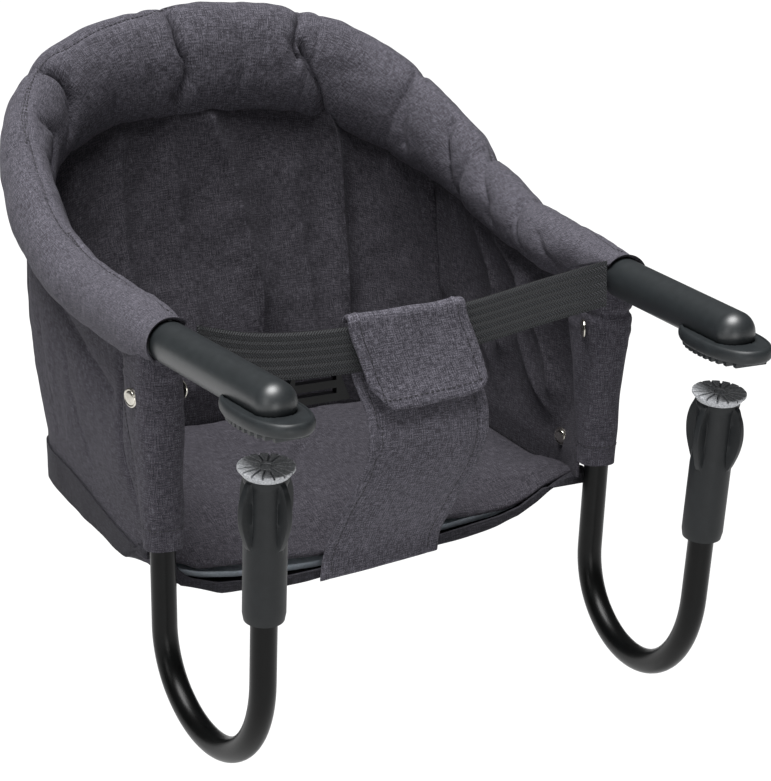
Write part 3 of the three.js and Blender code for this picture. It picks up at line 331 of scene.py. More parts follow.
def arm_profile():
    """Radius and height from the closed nose along the barrel, and back up the bore."""
    nose = [
        (arm_radius * math.sin(turn), arm_front - nose_length * (1 - math.cos(turn)))
        for turn in np.linspace(0, math.pi / 2, 16)
    ]
    barrel = [(arm_radius, -place) for place in np.linspace(0, arm_back, 10)]
    end = [(arm_radius - arm_chamfer, -arm_back), (arm_bore, -arm_back)]
    return nose + barrel + end + [(arm_bore, nose_length), (0, nose_length)]


for label, side in sides.items():
    lying = turned(arm_profile(), arm_facets)
    lying = np.stack([lying[..., 0], -lying[..., 2], lying[..., 1]], axis=-1)
    arm = make_skin(f"arm_{label}", move(lying, arm_frame(side)), slate_plastic)
    belongs(arm, "seat_frame", "slate_plastic", f"arm_sleeve_{label}")

# Arm pads
# Oval rubber feet moulded round the arms: a thick rolled lip above and cross ribs below,
# which grip the table top.
pad_length = 40 * mm
pad_width = 20.5 * mm
pad_shift = -1 * mm
pad_power = 0.86
pad_top = -4.2 * mm
pad_sole = -12.6 * mm
pad_roll = 2.6 * mm
pad_dish = 0.6 * mm
pad_web = 0.1 * mm
pad_steps = 96
cradle_gap = 0.3 * mm
rib_pitch = 6 * mm
rib_count = 11
rib_foot = 4.6 * mm
rib_land = 2.4 * mm
rib_inset = 3.5 * mm
rib_chamfer = 0.5 * mm
rib_round = 0.3 * mm
rib_sunk = 1 * mm
rib_oval_power = 2.3

# Pad rubber: soft grey thermoplastic rubber, matt with a faint bloom on its edges.
pad_rubber = grained(
    "grey_pad_rubber", "#191c1e", "#222628", spacing=0.8 * mm, depth=0.04 * mm,
    Roughness=0.48, Specular_IOR_Level=0.4,
)


def oval(turn, inset):
    """The pad's outline at turns round it, drawn in by an inset."""
    x = (pad_width - inset) * np.sign(np.cos(turn)) * np.abs(np.cos(turn)) ** pad_power
    y = (pad_length - inset) * np.sign(np.sin(turn)) * np.abs(np.sin(turn)) ** pad_power
    return x, y + pad_shift


def cradle_height(x, y):
    """The lip's top, cut down to clear the arm and its nose."""
    reach = arm_radius + cradle_gap
    past = np.clip((-y - (arm_front - nose_length)) / (nose_length + cradle_gap), 0, 1)
    radius = reach * np.sqrt(1 - past ** 2)
    under = np.where(np.abs(x) < radius, -np.sqrt(np.maximum(radius ** 2 - x ** 2, 0)), 0)
    return np.minimum(under, pad_top - pad_dish)


def pad_row(inset, share, height):
    """One oval row of a pad, drawn in by an inset and shrunk about its middle."""
    x, y = oval(np.linspace(0, 2 * math.pi, pad_steps, endpoint=False), inset)
    return np.stack([x * share, pad_shift + (y - pad_shift) * share, np.full(pad_steps, height)], -1)


def pad_points():
    """Rows from the middle of the sole, round the rolled lip and down into the cradle."""
    rows = [pad_row(pad_roll, share, pad_sole) for share in (0, 0.5, 0.85, 0.95)]
    middle, half = (pad_top + pad_sole) / 2, (pad_top - pad_sole) / 2
    for lean in np.linspace(-math.pi / 2, math.pi / 2, 15):
        rows.append(pad_row(pad_roll * (1 - math.cos(lean)), 1, middle + half * math.sin(lean)))
    for share in np.linspace(0.97, 0, 24):
        row = pad_row(pad_roll, share, 0)
        row[:, 2] = np.maximum(cradle_height(row[:, 0], row[:, 1]), pad_sole + pad_web)
        rows.append(row)
    return np.array(rows)


def new_tree(name, inputs):
    """A node tree from geometry to geometry; each further input has a kind and a value or None."""
    group = bpy.data.node_groups.new(name, "GeometryNodeTree")
    sockets = group.interface
    sockets.new_socket("Geometry", in_out="INPUT", socket_type="NodeSocketGeometry")
    for label, (kind, value) in inputs.items():
        socket = sockets.new_socket(label, in_out="INPUT", socket_type="NodeSocket" + kind)
        if value is not None:
            socket.default_value = value
    sockets.new_socket("Geometry", in_out="OUTPUT", socket_type="NodeSocketGeometry")
    return group, add_node(group, "NodeGroupInput").outputs


def give_out(group, copies, finish):
    """Ends a node tree: its copies become real geometry with a finish."""
    real = add_node(group, "GeometryNodeRealizeInstances", {"Geometry": copies.outputs[0]})
    final = add_node(group, "GeometryNodeSetMaterial", {"Geometry": real.outputs[0], "Material": finish})
    add_node(group, "NodeGroupOutput", {"Geometry": final.outputs[0]})


def row_tree(name):
    """A node tree that sets bars in a row along Y, each as long as the oval allows."""
    group, given = new_tree(name, {
        "Count": ("Int", rib_count),
        "Pitch": ("Float", rib_pitch),
        "Half length": ("Float", pad_length - rib_inset),
        "Half width": ("Float", pad_width - rib_inset),
        "Rib": ("Object", None),
        "Finish": ("Material", None),
    })
    gaps = math_node(group, "SUBTRACT", given["Count"], 1.0)
    first = math_node(group, "MULTIPLY", math_node(group, "MULTIPLY", gaps, -0.5), given["Pitch"])
    line = add_node(group, "GeometryNodeMeshLine", {
        "Count": given["Count"],
        "Start Location": add_node(group, "ShaderNodeCombineXYZ", {"Y": first}).outputs[0],
        "Offset": add_node(group, "ShaderNodeCombineXYZ", {"Y": given["Pitch"]}).outputs[0],
    })
    place = add_node(group, "GeometryNodeInputPosition").outputs[0]
    along = add_node(group, "ShaderNodeSeparateXYZ", {0: place}).outputs["Y"]
    share = math_node(group, "ABSOLUTE", math_node(group, "DIVIDE", along, given["Half length"]))
    left = math_node(group, "SUBTRACT", 1.0, math_node(group, "POWER", share, rib_oval_power))
    width = math_node(group, "MULTIPLY", math_node(group, "POWER", left, 0.5), given["Half width"])
    rib_object = add_node(group, "GeometryNodeObjectInfo", {"Object": given["Rib"]})
    bars = add_node(group, "GeometryNodeInstanceOnPoints", {
        "Points": line.outputs["Mesh"],
        "Instance": rib_object.outputs["Geometry"],
        "Scale": add_node(group, "ShaderNodeCombineXYZ", {"X": width, "Y": 1.0, "Z": 1.0}).outputs[0],
    })
    give_out(group, bars, given["Finish"])
    return group


def grown(group, source, values):
    """Runs a node tree on an object and returns its result as a plain mesh."""
    modifier = source.modifiers.new(group.name, "NODES")
    modifier.node_group = group
    for item in group.interface.items_tree:
        if item.in_out == "INPUT" and item.name in values:
            modifier[item.identifier] = values[item.name]
    graph = bpy.context.evaluated_depsgraph_get()
    mesh = bpy.data.meshes.new_from_object(source.evaluated_get(graph))
    source.modifiers.remove(modifier)
    return mesh


def rib_block():
    """One tapered rib, as wide as one unit each way along X so that its row can scale it."""
    top = pad_sole + rib_sunk
    profile = (
        (0, 0, -arm_axis), (rib_land, 1, -arm_axis), (rib_land + rib_chamfer, 1.02, rib_round - arm_axis),
        (rib_foot, 1.04, pad_sole), (rib_foot, 1.04, top), (0, 0, top),
    )
    rows = []
    for width, reach, height in profile:
        y = width / 2
        rows.append([(-reach, -y, height), (reach, -y, height), (reach, y, height), (-reach, y, height)])
    return np.array(rows)


ribs_tree = row_tree("pad_rib_row")
rib = make_skin("pad_rib_pattern", rib_block(), pad_rubber, sharp=50)
for label, side in sides.items():
    pad = make_skin(f"pad_body_{label}", pad_points(), pad_rubber)
    ribs = grown(ribs_tree, pad, {"Rib": rib, "Finish": pad_rubber})
    shape = bmesh.new()
    shape.from_mesh(pad.data)
    shape.from_mesh(ribs)
    shape.transform(Matrix(arm_frame(side).tolist()))
    shape.to_mesh(pad.data)
    shape.free()
    pad.data.set_sharp_from_angle(angle=math.radians(40))
    pad.name = f"table_pad_{label}"
    belongs(pad, "seat_frame", "pad_rubber", f"arm_pad_{label}")
bpy.data.objects.remove(rib)

# Clamp knobs
# Long moulded barrels that turn on the front legs, with four bulging wings to grip.
knob_top = -5.9 * mm
knob_bottom = -97 * mm
knob_radius = 12.8 * mm
knob_neck = 12 * mm
knob_bore = 8.6 * mm
knob_flare = 0.6 * mm
neck_length = 12 * mm
flare_start = 6 * mm
flare_length = 4 * mm
knob_chamfer = 0.8 * mm
knob_chamfer_length = 1.4 * mm
knob_cap = 6 * mm
wing_thickness = 3 * mm
wing_fillet = 1.1 * mm
wing_count = 4
wing_top = -6.5 * mm
wing_bottom = -49 * mm
wing_reach = 20 * mm
wing_turns = {"left": math.radians(16), "right": math.radians(25)}
wing_half_angles = (0, 2, 3.6, 4.8, 5.8, 6.8, 7.8, 9, 10.6, 13, 17, 23, 30, 37.5)


def smooth_step(value):
    """Eases from 0 to 1 while the value goes from 0 to 1."""
    value = np.clip(value, 0, 1)
    return value * value * (3 - 2 * value)


def knob_rows(first_wing):
    """Rows of a barrel whose radius swells to the wings; the wings' angles are sampled finely."""
    offsets = sorted({sign * angle for angle in wing_half_angles for sign in (-1, 1)} | {45})
    turns = np.radians([wing * 90 + offset for wing in range(wing_count) for offset in offsets])
    aside = np.abs((turns + math.pi / 4) % (math.pi / 2) - math.pi / 4)
    turns = turns + first_wing
    heights = np.concatenate([
        np.linspace(knob_bottom, wing_bottom, 12), np.linspace(wing_bottom, wing_top, 34)[1:], [knob_top],
    ])
    rows = []
    for height in heights:
        neck = smooth_step((height - wing_bottom) / neck_length)
        flare = smooth_step((height - knob_top + flare_start) / flare_length)
        base = knob_radius + (knob_neck - knob_radius) * neck
        base += (knob_radius + knob_flare - knob_neck) * flare
        base -= knob_chamfer * (1 - smooth_step((height - knob_bottom) / knob_chamfer_length))
        share = np.clip((wing_top - height) / (wing_top - wing_bottom), 0, 1)
        swell = math.sin(math.pi * share ** 0.85) ** 0.75 if 0 < share < 1 else 0
        crest = (wing_reach - base) * swell
        beside = aside * (base + crest / 2)
        blade = smooth_step((wing_thickness / 2 + wing_fillet - beside) / wing_fillet)
        rows.append(circle(base + crest * blade, turns, height))
    caps = [rows[-1] * [share, share, 1] for share in (0.96, 0.3)]
    ceiling = knob_top - knob_cap
    inside = [circle(knob_bore * share, turns, height)
              for share, height in ((0.42, ceiling), (1, ceiling), (1, knob_bottom))]
    return np.array(rows + caps + inside)


for label, side in sides.items():
    rings = move(knob_rows(wing_turns[label]), clamp_frame(side))
    knob = make_skin(f"knob_{label}", rings, knob_painted_shade_plastic, wrap_rows=True)
    belongs(knob, f"knob_{label}", "slate_plastic", f"clamp_knob_{label}")

# Pressure discs
# Flat rubber-faced discs on the knobs, cut by sixteen narrow grooves from a plain hub.
disc_radius = 16.6 * mm
disc_height = 5.6 * mm
disc_plate = 2 * mm
disc_neck = 13.4 * mm
stem_radius = 3.2 * mm
stem_length = 6 * mm
groove_count = 16
groove_half = 0.6 * mm
groove_depth = 1.7 * mm
groove_start = 5.6 * mm
groove_steps = 16
disc_shoulder = 1 * mm
hub_edge = 5.2 * mm
hub_radius = 3.4 * mm
hub_taper = 0.1 * mm
hub_depth = 1.9 * mm
# The disc's edge from its under side to its face: inset from the edge and height, in mm.
disc_edge = ((0.4, -2), (0, -1.6), (0, -1.1), (0, -0.35), (0.35, 0))

# Disc rubber: pale grey filled rubber, matt and speckled with darker filler.
disc_rubber, tree, shader = new_finish("speckled_disc_rubber", Roughness=0.72)
specks = speckle(tree, spacing=1.1 * mm, detail=2)
tone = add_node(tree, "ShaderNodeMapRange", {"Value": specks, "From Min": 0.36, "From Max": 0.64})
cover(tree, shader, tone.outputs[0], "#8e9094", "#bcbec1", specks, strength=0.4, depth=0.1 * mm)


def disc_profile():
    """Radius and height from the stem's foot out to the edge, and over the face to the hub."""
    stem_foot = -disc_height - stem_length
    stem = [(0, stem_foot), (stem_radius, stem_foot), (stem_radius, -disc_height)]
    under = stem + [(disc_neck, -disc_height)]
    edge = [(disc_radius - inset * mm, height * mm) for inset, height in disc_edge]
    face = [(radius, 0) for radius in np.linspace(disc_radius - disc_shoulder, groove_start, 12)]
    hub = [(hub_edge, 0), (hub_radius, 0), (hub_radius - hub_taper, -hub_depth), (0, -hub_depth)]
    return under + edge + face + hub


def disc_rows():
    """Rings of the disc; where a groove runs, its face drops to the groove's floor."""
    turns = np.linspace(0, 2 * math.pi, groove_count * groove_steps, endpoint=False)
    pitch = 2 * math.pi / groove_count
    aside = np.abs(turns % pitch - pitch / 2)
    rows = []
    for radius, height in disc_profile():
        cut = (aside * radius < groove_half) & (radius >= groove_start) & (height > -disc_plate)
        rows.append(circle(radius, turns, np.where(cut, np.minimum(height, -groove_depth), height)))
    return np.array(rows)


for label, side in sides.items():
    disc = make_skin(f"disc_{label}", move(disc_rows(), clamp_frame(side)), disc_rubber, sharp=30)
    belongs(disc, f"clamp_{label}", "disc_rubber", f"pressure_disc_{label}")
    repaint(disc_rubber, f"disc_screw_{label}")

# Padded rim
# A foam-filled sleeve of melange cloth sewn round the loop tube, with darts that take up the
# bend at the back. It ends in two hemmed mouths over the arms.
rim_stations = (
    (156.1, 123, 0, 19.8, 19.7), (157.7, 161.3, -0.2, 19.7, 18.2), (158.4, 208, 0.6, 20.6, 17.6),
    (160.6, 257, 4.9, 20.6, 17.2), (161.1, 307, 16.6, 23.2, 17.2), (156.4, 354.5, 37, 27.4, 17.4),
    (142.4, 400, 57.5, 33.4, 19.3), (113.5, 434, 79, 35.3, 20.3), (66.8, 449.5, 96.5, 37, 20.3),
    (0, 452.5, 100.7, 40.6, 19.8),
)
rim_sections = 640
rim_ring = 112
mouth_bore = 13.8 * mm
mouth_pull = 0.24
mouth_taper = {"left": 0.05, "right": 0.1}
mouth_recede = 0.07
mouth_low_side = math.radians(225)
dart_shares = (0.39, 0.487, 0.561, 0.58, 0.728)
dart_span = 0.012
seam_depth = 1.5 * mm
seam_width = 2 * mm
rim_wave = 1.4 * mm
rim_wave_sizes = (30 * mm, 11 * mm)
hem_roll = 0.9 * mm
hem_groove = 0.8 * mm
hem_roll_share = 0.004
hem_groove_share = 0.011
hem_groove_span = 0.003
hem_quiet_share = 0.03
lining_flare_share = 0.07
lining_bore = 12 * mm
lining_rows = 90


def mirrored(stations):
    """The left half's stations with x turned round, then the right half back to its mouth."""
    row = np.array(stations, float)
    flip = np.ones(row.shape[1])
    flip[0] = -1
    return np.vstack([row[:-1] * flip, row[::-1]])


def smooth_path(points, share):
    """A centripetal Catmull-Rom curve through the points, read at shares of its length."""
    place = np.clip(np.atleast_1d(share), 0, 1) * (len(points) - 1)
    low = np.minimum(place.astype(int), len(points) - 2)
    part = (place - low)[:, None]
    row = np.vstack([2 * points[0] - points[1], points, 2 * points[-1] - points[-2]])
    before, start, end, after = (row[low + step] for step in range(4))
    gaps = [np.maximum(np.linalg.norm(b - a, axis=1)[:, None] ** 0.5, 1e-6)
            for a, b in ((before, start), (start, end), (end, after))]
    slopes = ((start - before) / gaps[0], (end - start) / gaps[1], (after - end) / gaps[2])
    leave = gaps[1] * (slopes[0] - (end - before) / (gaps[0] + gaps[1]) + slopes[1])
    arrive = gaps[1] * (slopes[1] - (after - start) / (gaps[1] + gaps[2]) + slopes[2])
    bend = -3 * start + 3 * end - 2 * leave - arrive
    close = 2 * start - 2 * end + leave + arrive
    return start + leave * part + bend * part ** 2 + close * part ** 3


def between(values, share):
    """A station value read at a share of the row, eased between stations."""
    place = np.clip(share, 0, 1) * (len(values) - 1)
    low = np.minimum(place.astype(int), len(values) - 2)
    part = place - low
    ease = (smooth_step(part) + part) / 2
    return values[low] * (1 - ease) + values[low + 1] * ease


rim_row = mirrored(rim_stations) * mm
rim_line = rim_row[:, :3] + [0, 0, arm_axis]


def rim_frames(share):
    """Place, outward and upward directions of the rim's middle line."""
    step = 1e-4
    place = smooth_path(rim_line, share)
    along = smooth_path(rim_line, share + step) - smooth_path(rim_line, share - step)
    along /= np.linalg.norm(along, axis=1)[:, None]
    out = np.cross([0, 0, 1.0], along)
    out /= np.linalg.norm(out, axis=1)[:, None]
    return place, out, np.cross(along, out)


def rim_point(share, turn):
    """A point of the rim: share along it, and turn from its outside over its top."""
    share, turn = np.atleast_1d(share), np.atleast_1d(turn)
    place, out, up = rim_frames(share)
    reach = between(rim_row[:, 4], share) * np.cos(turn)
    rise = between(rim_row[:, 3], share) * np.sin(turn)
    return place + out * reach[:, None] + up * rise[:, None]


def line_distance(points, line):
    """The distance of each point to a line of points."""
    best = np.full(len(points), np.inf)
    for start, end in zip(line[:-1], line[1:]):
        span = end - start
        part = np.clip(((points - start) @ span) / max(span @ span, 1e-12), 0, 1)
        best = np.minimum(best, np.linalg.norm(points - start - part[:, None] * span, axis=1))
    return best


def fine_line(surface, marks, steps=24):
    """A line on a surface through marks given in its two shares."""
    marks = np.array(marks, float)
    row = smooth_path(np.hstack([marks, np.zeros((len(marks), 1))]), np.linspace(0, 1, steps))
    return surface(row[:, 0], row[:, 1])


def creased(points, surface, creases, sharp_share=0.6):
    """How far each point moves outwards: sharply into each crease, softly about it."""
    lift = np.zeros(len(points))
    for depth, width, marks in creases:
        away = line_distance(points, fine_line(surface, marks)) / (width * mm)
        lift -= depth * mm * (sharp_share * np.exp(-away) + (1 - sharp_share) * np.exp(-(away / 4) ** 2))
    return lift


def wrinkles(points, size, seed):
    """Soft uneven waves of about the given size, between -1 and 1."""
    shift = Vector((seed, seed * 2, seed * 3))
    return np.array([noise.noise(Vector(point) / size + shift) for point in points.tolist()])


def rim_surface(share, degrees):
    """A point of the rim with its turn in degrees."""
    return rim_point(share, np.radians(degrees))


# Each crease: depth and width in mm, then marks of share along the rim and turn in degrees
# from the outside over the top. Darts are narrow and deep, pulls wide and shallow.
rim_creases = (
    (15, 1.5, ((0.4845, 100), (0.4864, 153), (0.4893, 176), (0.49, 202), (0.485, 226))),
    (4.0, 1.5, ((0.486, 206), (0.482, 212), (0.485, 224), (0.487, 240))),
    (9.0, 1.8, ((0.561, 92), (0.5593, 159), (0.5636, 172))),
    (13, 1.5, ((0.563, 150), (0.5736, 182), (0.59, 213), (0.602, 250))),
    (15, 1.5, ((0.393, 104), (0.3971, 142), (0.3957, 168), (0.3893, 186), (0.371, 203))),
    (5.0, 3.6, ((0.6614, 98), (0.6693, 150), (0.6836, 204))),
    (6.5, 2.8, ((0.716, 110), (0.7193, 130), (0.7386, 188), (0.746, 220))),
    (5.0, 4.0, ((0.7607, 75), (0.7771, 135), (0.795, 165), (0.80, 200))),
    (4.5, 4.2, ((0.8321, 120), (0.8457, 180), (0.8579, 222))),
    (3.0, 3.6, ((0.88, 150), (0.90, 190), (0.915, 225))),
    (5.5, 2.8, ((0.3407, 128), (0.3371, 170), (0.3071, 164), (0.2721, 154))),
    (3.5, 3.0, ((0.2436, 150), (0.2043, 140), (0.190, 170))),
    (2.0, 2.0, ((0.47, 330), (0.472, 20), (0.484, 84))),
    (3.0, 2.0, ((0.385, 330), (0.388, 30), (0.392, 92))),
    (3.0, 2.0, ((0.30, 350), (0.305, 40), (0.3064, 84), (0.305, 110))),
    (2.0, 2.0, ((0.575, 330), (0.57, 20), (0.561, 70))),
    (3.0, 2.0, ((0.665, 335), (0.664, 30), (0.6614, 98))),
    (3.0, 2.0, ((0.756, 340), (0.755, 30), (0.7607, 75))),
    (2.5, 2.0, ((0.835, 345), (0.833, 40), (0.8321, 100))),
    (3.0, 4.0, ((0.52, 120), (0.526, 170), (0.522, 220))),
    (2.6, 4.0, ((0.44, 130), (0.442, 180), (0.435, 225))),
)
# The seam along the crest, from the left mouth round the back to the right mouth.
rim_seam = (
    (0.02, 112), (0.10, 106), (0.2, 101), (0.2436, 96), (0.275, 96), (0.3064, 84), (0.3371, 93),
    (0.395, 98), (0.4236, 112), (0.4614, 108), (0.485, 86), (0.56, 72), (0.66, 66), (0.76, 62),
    (0.855, 60), (0.89, 63), (0.9457, 78), (0.985, 84),
)


def mouth_share(share, turn):
    """Shares drawn in at both mouths, more on the inner side, where the hem is cut back."""
    recede = mouth_recede * np.maximum(0, np.cos(turn - mouth_low_side)) ** 1.2
    return recede + share * (1 - 2 * recede)


def rim_rows():
    """Shares of the rim's rings, crowded about the darts so that their folds come out sharp."""
    even = np.linspace(0, 1, 4001)
    density = 1 + sum(5.0 * np.exp(-((even - dart) / dart_span) ** 2) for dart in dart_shares)
    filled = np.concatenate([[0], np.cumsum((density[1:] + density[:-1]) / 2)])
    return np.interp(np.linspace(0, filled[-1], rim_sections), filled, even)


def rim_grid():
    """The rim's outer face: a padded ring with its darts, seam, waves and hemmed mouths."""
    turn = np.linspace(0, 2 * math.pi, rim_ring + 1)
    along, around = (values.ravel() for values in np.meshgrid(rim_rows(), turn, indexing="ij"))
    share = mouth_share(along, around)
    points = rim_point(share, around)
    place, _, _ = rim_frames(share)
    outward = points - place
    reach = np.linalg.norm(outward, axis=1)
    outward /= reach[:, None]
    lift = creased(points, rim_surface, rim_creases, 0.8)
    away = line_distance(points, fine_line(rim_surface, rim_seam, 160))
    lift -= seam_depth * np.exp(-(away / seam_width) ** 2)
    edge = np.minimum(along, 1 - along)
    broad, fine = rim_wave_sizes
    waves = wrinkles(points, broad, 3) + 0.5 * wrinkles(points, fine, 7)
    lift += rim_wave * waves * smooth_step(edge / hem_quiet_share)
    open_left = smooth_step(along / mouth_taper["left"])
    open_right = smooth_step((1 - along) / mouth_taper["right"])
    pull = mouth_pull * (2 - open_left - open_right)
    groove = np.exp(-((edge - hem_groove_share) / hem_groove_span) ** 2)
    hem = hem_roll * np.exp(-(edge / hem_roll_share) ** 2) - hem_groove * groove
    reach = reach * (1 - pull) + lift * smooth_step(edge / 0.008 + 0.2) + hem
    grid = (place + outward * reach[:, None]).reshape(rim_sections, rim_ring + 1, 3)
    grid[:, -1] = grid[:, 0]
    return grid


def rim_lining():
    """The sleeve's inner face, from the right mouth round the back to the left one."""
    turn = np.linspace(0, 2 * math.pi, rim_ring + 1)
    rows = []
    for share in np.linspace(1, 0, lining_rows):
        inward = smooth_step(min(share, 1 - share) / lining_flare_share)
        bore = mouth_bore + (lining_bore - mouth_bore) * inward
        held = mouth_share(np.full(rim_ring + 1, share), turn)
        place, out, up = rim_frames(np.clip(held, 0.004, 0.996))
        rows.append(place + bore * (out * np.cos(turn)[:, None] + up * np.sin(turn)[:, None]))
    return np.array(rows)


# Melange cloth: plain-woven polyester of dark and light grey yarns over thin foam. Single
# threads of half a millimetre are too fine for the picture, so they are drawn at 0.8 mm.
thread = 0.8 * mm
slub = 6 * mm
cloud = 26 * mm
weave_depth = 0.35 * mm
middle_tone = 0.53


def thread_noise(tree, threads, width, length, **values):
    """Noise over the cloth with grains of the given width and length along its threads."""
    spread = add_node(tree, "ShaderNodeMapping", {"Vector": threads, "Scale": (1 / width, 1 / length, 1)})
    inputs = {"Vector": spread.outputs[0], "Scale": 1.0, **values}
    return add_node(tree, "ShaderNodeTexNoise", inputs, noise_dimensions="2D").outputs["Fac"]


def melange(name, dark, middle, light, contrast=0.2):
    """Cloth of slubby yarns in three tones, crossing over and under."""
    finish, tree, shader = new_finish(
        name, Roughness=0.93, Specular_IOR_Level=0.25, Sheen_Weight=0.04, Sheen_Roughness=0.5
    )
    shader.inputs["Sheen Tint"].default_value = linear("#b9b6c4")
    threads = add_node(tree, "ShaderNodeUVMap", uv_map="threads").outputs[0]
    warp = thread_noise(tree, threads, thread, slub, Detail=2.0, Roughness=0.7)
    weft = thread_noise(tree, threads, slub, thread, Detail=2.0, Roughness=0.7)
    over = add_node(tree, "ShaderNodeTexChecker", {"Vector": threads, "Scale": 1 / thread}).outputs["Fac"]
    woven = add_node(tree, "ShaderNodeMix", {0: over, 2: warp, 3: weft}, data_type="FLOAT").outputs[0]
    uneven = math_node(tree, "MULTIPLY", thread_noise(tree, threads, cloud, cloud, Detail=2.0), 0.06)
    tone = math_node(tree, "ADD", woven, uneven)
    ramp = add_node(tree, "ShaderNodeValToRGB", {0: tone})
    stops = ramp.color_ramp.elements
    stops[0].position, stops[0].color = middle_tone - contrast, linear(dark)
    stops[1].position, stops[1].color = middle_tone + contrast, linear(light)
    stops.new(middle_tone).color = linear(middle)
    knot = thread / 1.2
    raised = math_node(tree, "ADD", tone, thread_noise(tree, threads, knot, knot, Detail=1.0))
    bump = add_node(tree, "ShaderNodeBump", {"Height": raised, "Strength": 0.45, "Distance": weave_depth})
    tree.links.new(ramp.outputs[0], shader.inputs["Base Color"])
    tree.links.new(bump.outputs[0], shader.inputs["Normal"])
    return finish


melange_cloth = melange("melange_polyester", "#28272c", "#444249", "#6a6871")

# The rim's cloth measures 1.2 m from mouth to mouth and 0.15 m round, folded back inside.
rim_cloth_length = 1.2
rim_cloth_girth = 0.15
rim_all = np.concatenate([rim_grid(), rim_lining()])[:, :-1]
rim_along = np.concatenate([
    rim_rows() * rim_cloth_length, np.linspace(rim_cloth_length, 0, lining_rows + 1),
])
rim_around = np.linspace(0, rim_cloth_girth, rim_ring + 1)
rim_uv = np.stack(np.meshgrid(rim_along, rim_around, indexing="ij"), -1)
rim = make_skin("padded_rim", rim_all, melange_cloth, rim_uv, wrap_rows=True, sharp=80)
belongs(rim, "seat_frame", "melange_cloth", "rim_sleeve")

# The left wall and the leg sleeves take the same weave in darker tones: painted shade.
wall_painted_shade_cloth = melange("melange_walls_painted_shade", "#1d1c21", "#343239", "#545259")

# Side and back panels
# The tub's walls: two layers of melange cloth over thin foam, sewn to the rim above, to each
# other at the rear corners and to the base below. The back one hangs in loose upright folds.
base_stations = (
    (156, 142), (156, 163), (156, 205), (155.5, 255), (154.5, 305), (152, 350), (143, 374), (108, 384),
    (61, 387), (0, 388),
)
wall_foot = -136.4 * mm
wall_belly = 5 * mm
wall_thickness = 2.4 * mm
wall_tuck = 9 * mm
wall_overlap = 18 * mm
foot_share = 0.86
shell_edge_share = 0.45
side_front_share = 0.088
side_rear_share = 0.2985
base_tip = 6 * mm
base_tip_start = 210 * mm
base_tip_length = 170 * mm
corner_lift = 13 * mm
corner_draw = 13 * mm
corner_start = 150 * mm
corner_length = 60 * mm
front_lean_share = 0.047
lean_speed = 1.15
held_share = 0.006
fade_start_share = 0.58
fade_length_share = 0.28
base_row = mirrored(base_stations) * mm
base_line = np.hstack([base_row, np.zeros((len(base_row), 1))])


def base_rise(y):
    """How far the base tips up towards the back."""
    return base_tip * smooth_step((y - base_tip_start) / base_tip_length)


def corner_share(place):
    """One at the right front corner, falling to nothing along the right side."""
    return (1 - smooth_step((place[:, 1] - corner_start) / corner_length)) * (place[:, 0] > 0)


def drawn_in(place):
    """The base's line with its right front corner pulled in, as the cloth hangs there."""
    return place - np.outer(corner_draw * corner_share(place), [1, 0, 0])


def wall_point(share, drop):
    """A point of the wall: share along the rim, and drop from the rim down to the base."""
    share, drop = np.atleast_1d(share), np.atleast_1d(drop)
    place, out, up = rim_frames(share)
    top = place - up * (between(rim_row[:, 3], share) - wall_tuck)[:, None]
    foot = drawn_in(smooth_path(base_line, share)) + [0, 0, wall_foot + arm_axis]
    foot[:, 2] += base_rise(foot[:, 1]) - wall_overlap + corner_lift * corner_share(foot)
    aside = out * [1, 1, 0]
    aside /= np.linalg.norm(aside, axis=1)[:, None]
    belly = wall_belly * np.sin(math.pi * np.clip(drop / foot_share, 0, 1))
    inwards = np.minimum(drop / foot_share, 1)
    part = np.stack([inwards, inwards, drop], -1)
    return top + (foot - top) * part + aside * belly[:, None]


def make_shell(name, points, uv, thickness, finish, lift=None):
    """A closed sheet of the given thickness about a grid of points, with rounded edges."""
    along, across = np.gradient(points, axis=0), np.gradient(points, axis=1)
    normal = np.cross(along, across)
    normal /= np.maximum(np.linalg.norm(normal, axis=2), 1e-12)[..., None]
    if lift is not None:
        points = points + normal * lift[..., None]
    half = np.full(points.shape[:2], thickness / 2)
    for edge in (half[0], half[-1], half[:, 0], half[:, -1]):
        edge *= shell_edge_share
    front, back = points + normal * half[..., None], points - normal * half[..., None]
    ring = np.concatenate([front, back[:, ::-1]], axis=1)
    ring_uv = np.concatenate([uv, uv[:, ::-1], uv[:, :1]], axis=1)
    rows, columns = ring.shape[:2]
    quads, corners = grid_quads(rows, columns, False, True)
    corner_uv = ring_uv[corners[0], corners[1]]
    ends, end_uv = [], []
    width = points.shape[1]
    for row in (0, rows - 1):
        for j in range(width - 1):
            cells = (j, j + 1, columns - 2 - j, columns - 1 - j)
            ends.append([row * columns + cell for cell in cells])
            end_uv.append([ring_uv[row, cell] for cell in cells])
    quads = np.concatenate([quads, np.array(ends)])
    corner_uv = np.concatenate([corner_uv, np.array(end_uv)]).reshape(-1, 2)
    return make_mesh(name, ring, quads, finish, corner_uv, sharp=70)


def sheet_uv(points):
    """Thread lengths along and across a grid of points."""
    along = np.linalg.norm(np.diff(points, axis=0), axis=2).mean(axis=1)
    across = np.linalg.norm(np.diff(points, axis=1), axis=2).mean(axis=0)
    u = np.concatenate([[0], np.cumsum(along)])
    v = np.concatenate([[0], np.cumsum(across)])
    return np.stack(np.meshgrid(u, v, indexing="ij"), -1), (u[-1], v[-1])


def wall_lean(drop):
    """How far along the rim the walls' front edges lean forward at a drop."""
    return front_lean_share * smooth_step(drop * lean_speed)


